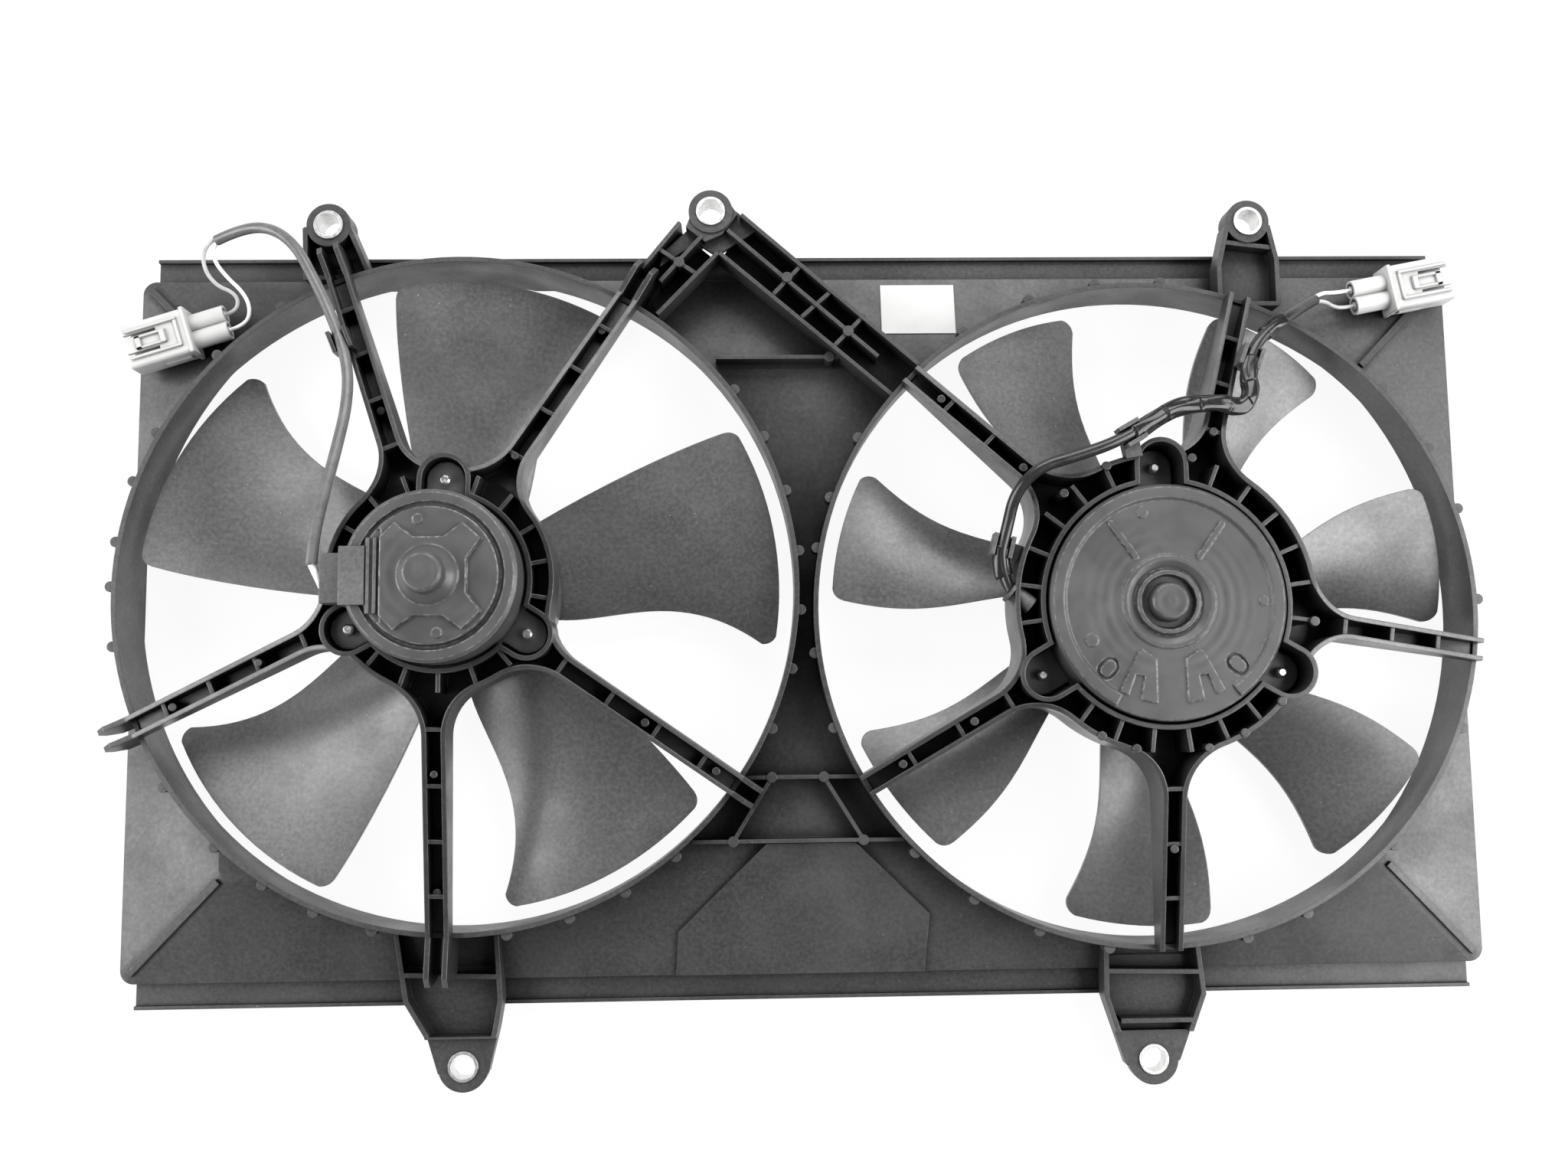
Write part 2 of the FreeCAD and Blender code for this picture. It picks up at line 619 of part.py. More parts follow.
def finish_tab(pieces, hole):
    whole = fused(pieces)
    whole = whole.cut(cylinder(hole, BUSHING_RADIUS + FIT_CLEARANCE, -5, RING_TOP + 20))
    for m in (LEFT, RIGHT):
        whole = whole.cut(cylinder(m["axis"], m["ring_radius"], -5, RING_TOP + 20))
    whole = whole.cut(hipped_block(0, 0))
    whole = whole.cut(strip(1))
    whole = whole.cut(strip(-1))
    solids = sorted(whole.removeSplitter().Solids, key=lambda s: s.Volume)
    return solids[-1]


def left_top_tab():
    pieces = tray_tab(LEFT_TOP_OUTLINE, LEFT_TOP_HOLE, TOP_EAR, LEFT_EYE_BOTTOM, TOP_TAB_TOP, TOP_TAB_TOP)
    pieces.append(prism(LEFT_LEG, LEFT_LEG_BOTTOM, LEFT_EYE_BOTTOM + LEG_OVERLAP))
    return finish_tab(pieces, LEFT_TOP_HOLE)


def right_top_tab():
    pieces = tray_tab(RIGHT_TOP_OUTLINE, RIGHT_TOP_HOLE, TOP_EAR, RIGHT_EYE_BOTTOM, TOP_TAB_TOP, TOP_TAB_TOP)
    pieces.append(bar(*RIGHT_CROSS, TAB_WALL, RIGHT_EYE_BOTTOM, TOP_TAB_TOP - RIB_DROP))
    pieces.append(prism(RIGHT_LEG, RIGHT_LEG_BOTTOM, RIGHT_EYE_BOTTOM + LEG_OVERLAP))
    return finish_tab(pieces, RIGHT_TOP_HOLE)


LEFT_BOTTOM_HOLE = (LEFT_AXIS[0] + 0.6, BODY_BOTTOM - 42.4)
RIGHT_BOTTOM_HOLE = (RIGHT_AXIS[0] + 1.0, BODY_BOTTOM - 45.2)
BOTTOM_EAR = 12.8
BOTTOM_TAB_FLOOR = 9.0
BOTTOM_PAD_TOP = 16.0
BOTTOM_TAB_TOP = 21.0
BOTTOM_STEP = 14.5  # from a bottom hole up to where its tab becomes a tray
LEFT_BOTTOM_OUTLINE = placed(
    (
        (-33.7, 29.0), (-27.7, -9.0), (-17.2, -26.0), (-11.2, -45.0), (12.3, -45.0),
        (17.3, -24.0), (19.8, -9.0), (17.3, 25.0),
    ),
    LEFT_AXIS[0], BODY_BOTTOM,
)
RIGHT_BOTTOM_OUTLINE = placed(
    (
        (-22.7, 15.0), (-23.2, -13.0), (-12.2, -47.0), (13.8, -45.0), (26.8, -12.0),
        (24.3, 15.0),
    ),
    RIGHT_AXIS[0], BODY_BOTTOM,
)
LEFT_BOTTOM_CROSS = placed_lines((
    ((-29.7, 4.0), (19.3, 2.5)),
    ((-17.2, -28.0), (16.3, -28.0)),
), LEFT_AXIS[0], BODY_BOTTOM)
RIGHT_BOTTOM_CROSS = placed_lines((
    ((-23.0, 0.0), (25.8, -1.0)),
    ((-16.2, -25.0), (20.3, -25.0)),
), RIGHT_AXIS[0], BODY_BOTTOM)


def bottom_tab(outline, hole, cross):
    pieces = tray_tab(outline, hole, BOTTOM_EAR, BOTTOM_TAB_FLOOR, BOTTOM_TAB_TOP, BOTTOM_PAD_TOP)
    for p, q in cross:
        pieces.append(bar(p, q, TAB_WALL, BOTTOM_TAB_FLOOR, BOTTOM_TAB_TOP))
    step = hole[1] + BOTTOM_STEP
    low_side = box(-BODY_WIDTH, BODY_WIDTH, 2 * BODY_BOTTOM, step, 0, RING_TOP)
    above = box(-BODY_WIDTH, BODY_WIDTH, 2 * BODY_BOTTOM, step, BOTTOM_PAD_TOP, RING_TOP)
    pad = prism(outline, BOTTOM_TAB_FLOOR, BOTTOM_PAD_TOP).common(low_side)
    whole = fused(pieces).cut(above).fuse(pad)
    return finish_tab([whole], hole)


def bushing(hole, z0, z1):
    return tube(hole, BUSHING_RADIUS, BUSHING_HOLE_RADIUS, z0 - BUSHING_STAND, z1 + BUSHING_STAND)


def mounting_bushings():
    places = (
        (LEFT_TOP_HOLE, LEFT_EYE_BOTTOM, TOP_TAB_TOP),
        (CENTRE_HOLE, CENTRE_EYE_BOTTOM, BRACE_TOP),
        (RIGHT_TOP_HOLE, RIGHT_EYE_BOTTOM, TOP_TAB_TOP),
        (LEFT_BOTTOM_HOLE, BOTTOM_TAB_FLOOR, BOTTOM_PAD_TOP),
        (RIGHT_BOTTOM_HOLE, BOTTOM_TAB_FLOOR, BOTTOM_PAD_TOP),
    )
    return Part.makeCompound([bushing(*place) for place in places])


# ---------------------------------------------------------------- fans
def blade_edges(m, t):
    """The two edge angles of a blade and their heights; t is 0 at the hub and 1 at the tip."""
    if m["name"] == "left":
        back = (-17.0, -9.0, -5.5, -7.0, -11.5)
        front = (41.0, 37.0, 34.5, 32.5, 30.5)
        low, high = (14.0, 15.0), (38.0, 32.0)
    else:
        back = (-5.0, -1.0, 0.5, -0.8, -3.2)
        front = (18.5, 22.5, 24.8, 24.6, 23.0)
        low, high = (15.0, 15.0), (34.0, 32.0)
    s = t * (len(back) - 1)
    i = min(int(s), len(back) - 2)
    f = s - i
    a = back[i] + (back[i + 1] - back[i]) * f
    b = front[i] + (front[i + 1] - front[i]) * f
    return a, b, low[0] + (low[1] - low[0]) * t, high[0] + (high[1] - high[0]) * t


CAMBER = 3.0


def blade(m):
    """One blade: a twisted, cambered sheet given its thickness straight down."""
    centre = m["axis"]
    r0, r1 = m["fan_hub_radius"] - HUB_ROOT, m["ring_radius"] - WALL - TIP_CLEARANCE
    rows = []
    for t in (0.0, 0.25, 0.5, 0.75, 1.0):
        a, b, low, high = blade_edges(m, t)
        row = []
        for i in range(7):
            v = i / 6
            r = r0 + (r1 - r0) * t
            x, y = polar(centre, r, a + (b - a) * v)
            row.append(V(x, y, low + (high - low) * v + CAMBER * 4 * v * (1 - v)))
        rows.append(row)
    surface = Part.BSplineSurface()
    surface.interpolate(rows)
    solid = surface.toShape().extrude(V(0, 0, -BLADE_THICKNESS))
    return solid.cut([tip_corner(m, r0, r1, side) for side in (0, 1)])


def tip_corner(m, r0, r1, side):
    """What rounds off one tip corner of a blade: 0 is its back edge and 1 its front edge."""
    centre = m["axis"]
    x, y = polar(centre, r1, blade_edges(m, 1.0)[side])
    px, py = polar(centre, r0 + 0.85 * (r1 - r0), blade_edges(m, 0.85)[side])
    length = math.hypot(x - px, y - py)
    ex, ey = (x - px) / length, (y - py) / length
    turn = 1 if side else -1
    nx, ny = -turn * ey, turn * ex
    mx, my = (x - centre[0]) / r1, (y - centre[1]) / r1
    # the round's centre lies BLADE_TIP_ROUND inside both the tip and the edge
    scale = BLADE_TIP_ROUND / (mx * ny - my * nx)
    ox, oy = x - scale * (ny - my), y - scale * (mx - nx)
    far = BLADE_TIP_ROUND + 6
    corners = [
        (ox, oy),
        (ox + mx * far, oy + my * far),
        (ox + (mx + nx) * far, oy + (my + ny) * far),
        (ox + nx * far, oy + ny * far),
    ]
    return prism(corners, 0, RING_TOP).cut(cylinder((ox, oy), BLADE_TIP_ROUND, -1, RING_TOP + 1))


def fan(m):
    centre, radius = m["axis"], m["fan_hub_radius"]
    low, high = m["fan_hub_bottom"], m["fan_hub_top"]
    bore = m["shaft_radius"] + FIT_CLEARANCE
    boss = m["shaft_radius"] + BOSS_WALL
    profile = [
        (bore, low - NUT_SEAT), (boss, low - NUT_SEAT), (boss + 4, low), (radius - HUB_ROUND, low),
        (radius, low + HUB_ROUND), (radius, high), (radius - HUB_WALL, high),
        (radius - HUB_WALL, low + HUB_WALL), (boss, low + HUB_WALL),
        (boss, low + HUB_BOSS), (bore, low + HUB_BOSS),
    ]
    hub = revolved(centre, profile)
    pieces = []
    for k in range(8):
        p = polar(centre, boss - 1, 45 * k)
        q = polar(centre, radius - 1, 45 * k)
        pieces.append(bar(p, q, 1.8, low + 1, low + 9))
    one = blade(m)
    for k in range(m["blade_count"]):
        pieces.append(turned(one, centre, 360 * k / m["blade_count"]))
    return hub.fuse(pieces).removeSplitter()


def fan_nut(m):
    low = m["fan_hub_bottom"] - NUT_SEAT
    across = m["shaft_radius"] + NUT_WALL
    points = [polar(m["axis"], across / math.cos(math.pi / 6), 60 * k) for k in range(6)]
    nut = prism(points, low - NUT_HEIGHT, low)
    return nut.cut(cylinder(m["axis"], m["shaft_radius"] + FIT_CLEARANCE, 0, low + 1))


# ---------------------------------------------------------------- motors
CAN_BAND = 5.8
GROOVE_WIDTH = 1.8
GROOVE_DEPTH = 1.5
PLATEAU_RISE = 3.0
PLATEAU = (
    (-23.0, 16.6), (-15.7, 24.2), (-6.6, 17.6), (7.0, 17.6), (15.7, 24.2), (24.2, 16.8), (17.6, 7.5),
    (17.6, -8.5), (24.2, -16.8), (15.8, -25.2), (7.2, -18.8), (-6.6, -18.8), (-15.7, -25.2), (-23.0, -17.2),
)
DIMPLES = ((26.6, 101.0), (27.0, -81.0))  # from the left can's axis
DIMPLE = (2.4, 0.6)  # a dimple's radius and its rise
COVER_PROUD = 0.4  # how far the terminal cover stands past the left can
COVER_WIDTH = 11.8
COVER_LEFT = -LEFT["can_radius"] - COVER_PROUD  # from the left axis
COVER_RIGHT = COVER_LEFT + COVER_WIDTH
RIDGE_SPAN = (COVER_RIGHT + 1.4, COVER_RIGHT + 4.6)  # the two ridges beside the cover
CAN_STEP = COVER_RIGHT + 7.0  # where the left can's flat step ends


def left_can(m):
    centre, r, top, low = m["axis"], m["can_radius"], m["can_top"], m["can_bottom"]
    boss, boss_top = m["boss_radius"], m["boss_top"]
    band = r - CAN_BAND
    groove = band - GROOVE_WIDTH
    outer = revolved(
        centre,
        [
            (0, low), (r, low), (r, top - 1.5), (r - 1.5, top), (band, top), (band, top - GROOVE_DEPTH),
            (groove, top - GROOVE_DEPTH), (groove - 0.8, top + 1.2), (15.5, top + 1.2), (12.5, top + 5),
            (boss + 0.6, top + 8), (boss, boss_top - 1), (boss - 1, boss_top), (0, boss_top),
        ],
    )
    outer = outer.fuse(prism(placed(PLATEAU, *centre), top - 1, top + PLATEAU_RISE)).removeSplitter()
    inner_top = top - CAN_WALL - 0.5
    inner = cylinder(centre, r - CAN_WALL, low - 1, inner_top)
    seat = m["shaft_radius"] + BEARING_WALL
    inner = inner.fuse(cylinder(centre, seat, inner_top - 1, boss_top - CAN_WALL))
    # a flat step on the terminal side
    half = RIDGE_HALF + 4
    step = box(centre[0] - r - 1, centre[0] + CAN_STEP, centre[1] - half, centre[1] + half, top, boss_top)
    dimples = [cylinder(polar(centre, out, a), DIMPLE[0], top, top + 1.2 + DIMPLE[1]) for out, a in DIMPLES]
    return outer.fuse(dimples).cut([inner, step]).removeSplitter()


STIFFENER_RISE = -0.3  # from the rim's level
STIFFENER = (
    (7.2, -27.6), (7.4, -49.2), (15.5, -47.6), (13.2, -35.9), (17.6, -35.1), (21.4, -44.9), (25.8, -43.2),
    (16.2, -24.6), (13.8, -23.2),
)
OVAL_ANGLES = (226.0, 316.5)
OVAL_SPAN = (43.0, 46.0)
OVAL_RADIUS = 2.9
OVAL_GROOVE = 1.5


def slot(p, q, radius, z0, z1):
    """A round-ended bar from p to q."""
    return [bar(p, q, 2 * radius, z0, z1), cylinder(p, radius, z0, z1), cylinder(q, radius, z0, z1)]


def right_can(m):
    centre, r, top, low = m["axis"], m["can_radius"], m["can_top"], m["can_bottom"]
    boss, boss_top = m["boss_radius"], m["boss_top"]
    rim = 6.5
    outer = revolved(
        centre,
        [
            (0, low), (r, low), (r, top - 2), (r - 1.5, top), (r - rim, top), (r - rim - 1.5, top - 1.2),
            (23.5, top - 1.2), (22.5, top - 0.4), (20.5, top - 0.4), (16.5, top - 2.8), (15.5, top - 0.6),
            (13.5, top - 0.6), (12.5, top - 3.5), (boss + 0.8, top - 3.5), (boss, boss_top - 1),
            (boss - 1, boss_top), (0, boss_top),
        ],
    )
    inner_top = top - CAN_WALL - 2.5
    inner = cylinder(centre, r - CAN_WALL, low - 1, inner_top)
    seat = m["shaft_radius"] + BEARING_WALL
    inner = inner.fuse(cylinder(centre, seat, inner_top - 1, boss_top - CAN_WALL))
    whole = outer.cut(inner)
    adds = []
    for p, q in (
        (polar(centre, 27, 125), polar(centre, 47, 125)),
        (polar(centre, 27, 54), polar(centre, 47, 54)),
    ):
        adds += slot(p, q, 1.5, top - 2, top - 0.4)
    for radius, angle, size in ((45.7, 104.8, 2.8), (46.6, 0, 2.4), (42.5, 205.6, 3.2)):
        adds.append(cylinder(polar(centre, radius, angle), size, top - 2, top - 0.7))
    grooves = []
    for angle in OVAL_ANGLES:
        p, q = polar(centre, OVAL_SPAN[0], angle), polar(centre, OVAL_SPAN[1], angle)
        adds += slot(p, q, OVAL_RADIUS, top - 3, top - 0.6)
        grooves += slot(p, q, OVAL_RADIUS + OVAL_GROOVE, top - 2, top + 1)
    for side in (-1, 1):
        shape = [(centre[0] + side * x, centre[1] + y) for x, y in STIFFENER]
        adds.append(prism(shape, top - 2, top + STIFFENER_RISE))
    whole = whole.cut(grooves).fuse(adds)
    # the raised rim stops over a sector at the bottom
    notch = prism([centre, polar(centre, 90, 241), polar(centre, 90, 306)], top - 1.2, top + 1)
    keep = cylinder(centre, r - rim - 1.6, top - 3, top + 2)
    return whole.cut(notch.cut(keep)).removeSplitter()


def front_plate(m):
    """The end bell on the fan side, which closes the can and holds the front bearing."""
    centre, r, low = m["axis"], m["can_radius"], m["can_bottom"]
    seat = m["shaft_radius"] + BEARING_WALL
    profile = [
        (seat, low - 6), (seat + 2.5, low - 6), (seat + 2.5, low - 2), (r, low - 2), (r, low),
        (r - CAN_WALL - FIT_CLEARANCE, low), (r - CAN_WALL - FIT_CLEARANCE, low + 2), (seat + 2.5, low + 2),
        (seat + 2.5, low + 4), (seat, low + 4),
    ]
    return revolved(centre, profile)


def flange(m):
    """The three-eared mounting band round the can."""
    z1 = m["flange_top"]
    z0 = z1 - FLANGE_THICKNESS
    centre, inner = m["axis"], m["can_radius"] + FIT_CLEARANCE
    pieces = [cylinder(centre, inner + 1.2, z0, z1)]
    for k in range(3):
        angle = m["screw_angle"] + 120 * k
        tip = polar(centre, m["screw_circle"], angle)
        pieces.append(cylinder(tip, m["ear_radius"], z0, z1))
        pieces.append(bar(polar(centre, inner - 8, angle), tip, 2 * m["ear_radius"], z0, z1))
    whole = fused(pieces)
    whole = whole.cut(cylinder(centre, inner, z0 - 1, z1 + 1))
    for k in range(3):
        tip = polar(centre, m["screw_circle"], m["screw_angle"] + 120 * k)
        whole = whole.cut(cylinder(tip, m["screw_radius"] + FIT_CLEARANCE, z0 - 1, z1 + 1))
    return whole


def screws(m):
    """Three screws that come up through the carrier from the fan side."""
    solids = []
    head_top = min(m["hub_bottom"], m["flange_top"] - FLANGE_THICKNESS)
    head, height = SCREW_HEAD
    for k in range(3):
        p = polar(m["axis"], m["screw_circle"], m["screw_angle"] + 120 * k)
        r = m["screw_radius"]
        profile = [
            (0, head_top - height), (head - SCREW_CHAMFER, head_top - height),
            (head, head_top - height + SCREW_CHAMFER), (head, head_top), (r, head_top),
            (r, m["screw_top"] - SCREW_CHAMFER), (r - SCREW_CHAMFER, m["screw_top"]), (0, m["screw_top"]),
        ]
        solids.append(revolved(p, profile))
    return Part.makeCompound(solids)


def bearing(m, z0, z1):
    outer = m["shaft_radius"] + BEARING_WALL - FIT_CLEARANCE
    return tube(m["axis"], outer, m["shaft_radius"] + SHAFT_CLEARANCE, z0, z1)


def shaft(m):
    z1 = m["boss_top"] - CAN_WALL - 1
    z0 = m["fan_hub_bottom"] - NUT_SEAT - NUT_HEIGHT - SHAFT_PAST_NUT
    return cylinder(m["axis"], m["shaft_radius"], z0, z1)


def armature_span(m):
    """(low end of the core, high end of the core, low end of the commutator, its high end)"""
    low = m["can_bottom"] + 8
    high = m["can_top"] - CAN_WALL - 3
    length = high - low
    return low + 0.1 * length, low + 0.55 * length, low + 0.7 * length, low + 0.92 * length


def armature_core(m):
    z0, z1, _, _ = armature_span(m)
    outer = m["armature_radius"]
    slots = []
    core = tube(m["axis"], outer, m["shaft_radius"] + FIT_CLEARANCE, z0, z1)
    for k in range(12):
        p = polar(m["axis"], outer * 0.62, 30 * k)
        q = polar(m["axis"], outer + 2, 30 * k)
        slots.append(bar(p, q, outer * 0.1, z0 - 1, z1 + 1))
    return core.cut(slots)


def armature_windings(m):
    """The end turns of the winding, above and below the core."""
    z0, z1, z2, _ = armature_span(m)
    outer = m["armature_radius"] * 0.9
    inner = m["armature_radius"] * 0.4
    depth = (z2 - z1) * 0.7
    upper = tube(m["axis"], outer, inner, z1, z1 + depth)
    lower = tube(m["axis"], outer, inner, z0 - depth, z0)
    return Part.makeCompound([upper, lower])


def commutator(m):
    _, _, z2, z3 = armature_span(m)
    return tube(m["axis"], m["shaft_radius"] + COMMUTATOR_WALL, m["shaft_radius"] + FIT_CLEARANCE, z2, z3)


def magnets(m):
    z0, z1, _, _ = armature_span(m)
    outer = m["can_radius"] - CAN_WALL - FIT_CLEARANCE
    inner = max(outer - MAGNET_THICKNESS, m["armature_radius"] + AIR_GAP)
    whole = tube(m["axis"], outer, inner, z0 - 1, z1 + 1)
    gaps = []
    for angle in (45, 135):
        p = polar(m["axis"], outer + 3, angle)
        q = polar(m["axis"], outer + 3, angle + 180)
        gaps.append(bar(p, q, 12, z0 - 2, z1 + 2))
    return whole.cut(gaps)


def brush_holder(m):
    """A card fixed in the can round the commutator, with a box for each brush."""
    _, _, z2, z3 = armature_span(m)
    centre = m["axis"]
    outer = m["can_radius"] - CAN_WALL - FIT_CLEARANCE
    inner = m["shaft_radius"] + COMMUTATOR_WALL + HOLDER_CLEARANCE
    plate = tube(centre, outer, inner, z3 - 2, z3)
    boxes = []
    for angle in (0, 180):
        p = polar(centre, inner, angle)
        q = polar(centre, inner + 12, angle)
        shell = bar(p, q, 9, z2, z3 - 1)
        hollow = bar(polar(centre, inner - 1, angle), q, 6, z2 - 1, z3 - 3)
        boxes.append(shell.cut(hollow))
    return plate.fuse(boxes).removeSplitter()


def brushes(m):
    _, _, z2, z3 = armature_span(m)
    centre = m["axis"]
    inner = m["shaft_radius"] + COMMUTATOR_WALL + BRUSH_CLEARANCE
    solids = []
    for angle in (0, 180):
        p = polar(centre, inner - 0.5, angle)
        q = polar(centre, inner + BRUSH_LENGTH, angle)
        block = bar(p, q, 5.6, z2 + 0.4, z3 - 3.2)
        solids.append(block.cut(cylinder(centre, inner, z2 - 1, z3 + 1)))
    return Part.makeCompound(solids)


def brush_springs(m):
    _, _, z2, z3 = armature_span(m)
    centre = m["axis"]
    face = m["shaft_radius"] + COMMUTATOR_WALL
    start = face + BRUSH_CLEARANCE + BRUSH_LENGTH + 0.1
    solids = []
    for angle in (0, 180):
        p = polar(centre, start, angle)
        q = polar(centre, face + HOLDER_CLEARANCE + BRUSH_LENGTH + 3.8, angle)
        solids.append(bar(p, q, 4, z2 + 1, z3 - 3.6))
    return Part.makeCompound(solids)


# ---------------------------------------------------------------- terminals and leads
COVER_RISE = 2.0  # above the left can
COVER_DEPTH = 14.0
COVER_LOW, COVER_HIGH = -13.5, 13.7
RIDGE_HALF = 17.5
RIDGE_WIDTH = 1.6
RIDGE_DROP = 0.4
PLUG_LENGTH = 11.0
PLUG_LOW, PLUG_HIGH = -11.8, 11.5
PLUG_DROP = 8.0  # its top lies this far below the cover's top
PLUG_HEIGHT = 11.5
TAIL_INSET = 1.1  # how far the tail starts inside the plug
TAIL_DROP = 4.0
TAIL_RADIUS = 1.6
RIGHT_CAN_EDGE = (RIGHT_AXIS[0] - RIGHT["can_radius"], RIGHT_AXIS[1])
BOOT_START = (RIGHT_CAN_EDGE[0] - 7.7, RIGHT_CAN_EDGE[1] - 0.7, 67.0)
BOOT_RADIUS = 4.6
BOOT_COLLAR = (6.2, 1.6)  # its radius and its thickness
WIRE_DIAMETER = 2.0
LEFT_LEAD_DIAMETER = 5.5
RIGHT_LEAD_DIAMETER = 6.0
LEFT_LEAD = run_from(LEFT_AXIS, (
    (-56.2, 6.4, 96.0), (-55.9, 22.0, 93.2), (-52.9, 42.0, 88.2), (-49.5, 64.0, 82.4),
    (-46.9, 87.0, 75.5), (-48.7, 109.0, 69.0), (-59.2, 135.0, 61.5), (-71.2, 158.0, 56.0),
    (-82.2, 176.5, 50.0), (-97.2, 188.0, 44.0), (-114.7, 189.0, 38.0), (-128.0, 184.4, 34.0),
))
LEFT_WIRE_A = run_from(LEFT_AXIS, (
    (-128.4, 185.5, 34.0), (-132.9, 183.2, 33.2), (-135.9, 176.0, 32.0), (-134.2, 168.0, 30.6),
    (-128.7, 161.5, 29.2), (-121.7, 159.0, 27.6), (-118.5, 154.6, 26.4), (-120.4, 149.0, 25.6),
    (-125.4, 147.4, 25.7),
))
LEFT_WIRE_B = run_from(LEFT_AXIS, (
    (-127.6, 183.3, 34.0), (-130.3, 180.8, 33.3), (-129.5, 173.5, 32.0), (-123.2, 165.5, 30.2),
    (-116.2, 159.0, 28.2), (-112.3, 151.2, 26.6), (-114.0, 141.8, 25.8), (-122.8, 139.1, 25.7),
))
RIGHT_LEAD_START = run_from(RIGHT_CAN_EDGE, (
    (-17.8, 7.3, 67.0), (-23.2, 20.3, 67.0), (-18.7, 37.8, 68.5),
))
RIGHT_LEAD = RIGHT_LEAD_START + run_from(RIGHT_AXIS, (
    (-73.7, 54.3, 76.0), (-62.2, 66.3, 80.5), (-44.2, 71.3, 80.5), (-24.7, 77.8, 80.5),
    (-7.2, 87.8, 78.5), (9.8, 97.3, 75.5), (28.8, 99.1, 73.0), (40.8, 96.8, 70.5), (49.3, 104.3, 68.5),
    (47.3, 117.3, 66.0), (52.8, 131.3, 64.0), (65.3, 142.8, 60.0), (76.3, 149.8, 53.5),
    (86.8, 156.8, 44.5), (95.6, 162.3, 37.5),
))
RIGHT_WIRE_A = run_from(RIGHT_AXIS, (
    (94.9, 163.3, 37.5), (101.6, 167.5, 32.8), (109.3, 169.7, 26.4), (114.8, 170.7, 23.8),
    (121.5, 171.9, 23.4),
))
RIGHT_WIRE_B = run_from(RIGHT_AXIS, (
    (96.3, 161.3, 37.5), (102.8, 163.5, 32.4), (110.3, 162.3, 26.1), (116.3, 162.0, 23.7),
    (123.1, 163.3, 23.4),
))
ARC_SHARE = 0.45  # how much of the shorter run an arc takes up

CLIP_LENGTH = 11.0
CLIP_WALL = 2.0
CLIP_GAP = 0.4
CLIP_FOOT = 8.0
# A clip: the run that it holds, its foot and the height of the foot's bottom
LEFT_CLIP = (LEFT_LEAD[5:7], (LEFT_AXIS[0] - 51.4, LEFT_AXIS[1] + 123.0), 54.0)
RIGHT_CLIPS = (
    (RIGHT_LEAD[1:3], (RIGHT_CAN_EDGE[0] - 10.5, RIGHT_CAN_EDGE[1] + 25.2), 57.0),
    (RIGHT_LEAD[6:8], (RIGHT_AXIS[0] - 13.8, RIGHT_AXIS[1] + 71.7), 69.0),
    (RIGHT_LEAD[12:14], (RIGHT_AXIS[0] + 45.5, RIGHT_AXIS[1] + 125.8), 52.0),
)

BARREL_LENGTH = 18.5
BARREL_RADIUS = 4.9
BARREL_OFFSET = 4.4
SEAL_RADIUS = 2.0
SEAL_GROOVE = (3.7, 3.0)  # its outer radius and its depth
CONNECTOR_LENGTH = 51.5
CONNECTOR_WIDTH = 24.0
CONNECTOR_HEIGHT = 15.0
CONNECTOR_WALL = 2.2
CONNECTOR_ROUND = 2.0
SOCKET_DEPTH = 17.0
TOWER = (13.0, 5.6)  # the width and the height of the block in the socket
LATCH_SLOTS = (4.2, 5.8)
# A connector: the place of its lead end, and its heading in degrees
LEFT_CONNECTOR = ((LEFT_AXIS[0] - 124.1, LEFT_AXIS[1] + 143.2, 25.7), 197.2)
RIGHT_CONNECTOR = ((RIGHT_AXIS[0] + 122.3, RIGHT_AXIS[1] + 167.6, 23.4), 10.9)

LABEL_WIDTH = 40.0
LABEL_CLEARANCE = 10.9  # from the right ring, along X
LABEL_EDGE = 3.5  # from the top edge of the deck, along Y
LABEL_DEPTH = 28.5
LABEL_THICKNESS = 0.4


def terminal_cover():
    """The block on the left can's edge, with the two ridges beside it."""
    x, y = LEFT_AXIS
    step = LEFT["can_top"]
    top = step + COVER_RISE
    block = box(x + COVER_LEFT, x + COVER_RIGHT, y + COVER_LOW, y + COVER_HIGH, top - COVER_DEPTH, top)
    ledge = box(x + COVER_RIGHT, x + CAN_STEP, y - RIDGE_HALF, y + RIDGE_HALF, step, step + 0.5)
    pieces = [block, ledge]
    for centre in RIDGE_SPAN:
        ends = ((x + centre, y - RIDGE_HALF), (x + centre, y + RIDGE_HALF))
        pieces.append(bar(*ends, RIDGE_WIDTH, step, top - RIDGE_DROP))
    filled_can = cylinder(LEFT_AXIS, LEFT["can_radius"], 0, step)
    return fused(pieces).cut([left_can(LEFT), filled_can])


def plug_corner():
    """The plug's upper corner at its left side."""
    x = LEFT_AXIS[0] + COVER_LEFT - PLUG_LENGTH
    return x, LEFT["can_top"] + COVER_RISE - PLUG_DROP


def lead_plug():
    x, top = plug_corner()
    y = LEFT_AXIS[1]
    return box(x, x + PLUG_LENGTH, y + PLUG_LOW, y + PLUG_HIGH, top - PLUG_HEIGHT, top)


def rod(p, q, radius):
    start, end = V(*p), V(*q)
    return Part.makeCylinder(radius, (end - start).Length, start, end - start)


def lead_tail():
    """The short bare stretch between the plug and the left lead's sleeve."""
    x, top = plug_corner()
    start = (x + TAIL_INSET, LEFT_AXIS[1] + PLUG_LOW / 2, top - TAIL_DROP)
    sleeve = lead("left_lead", LEFT_LEAD, LEFT_LEAD_DIAMETER)
    return rod(start, LEFT_LEAD[0], TAIL_RADIUS).cut([lead_plug(), sleeve])


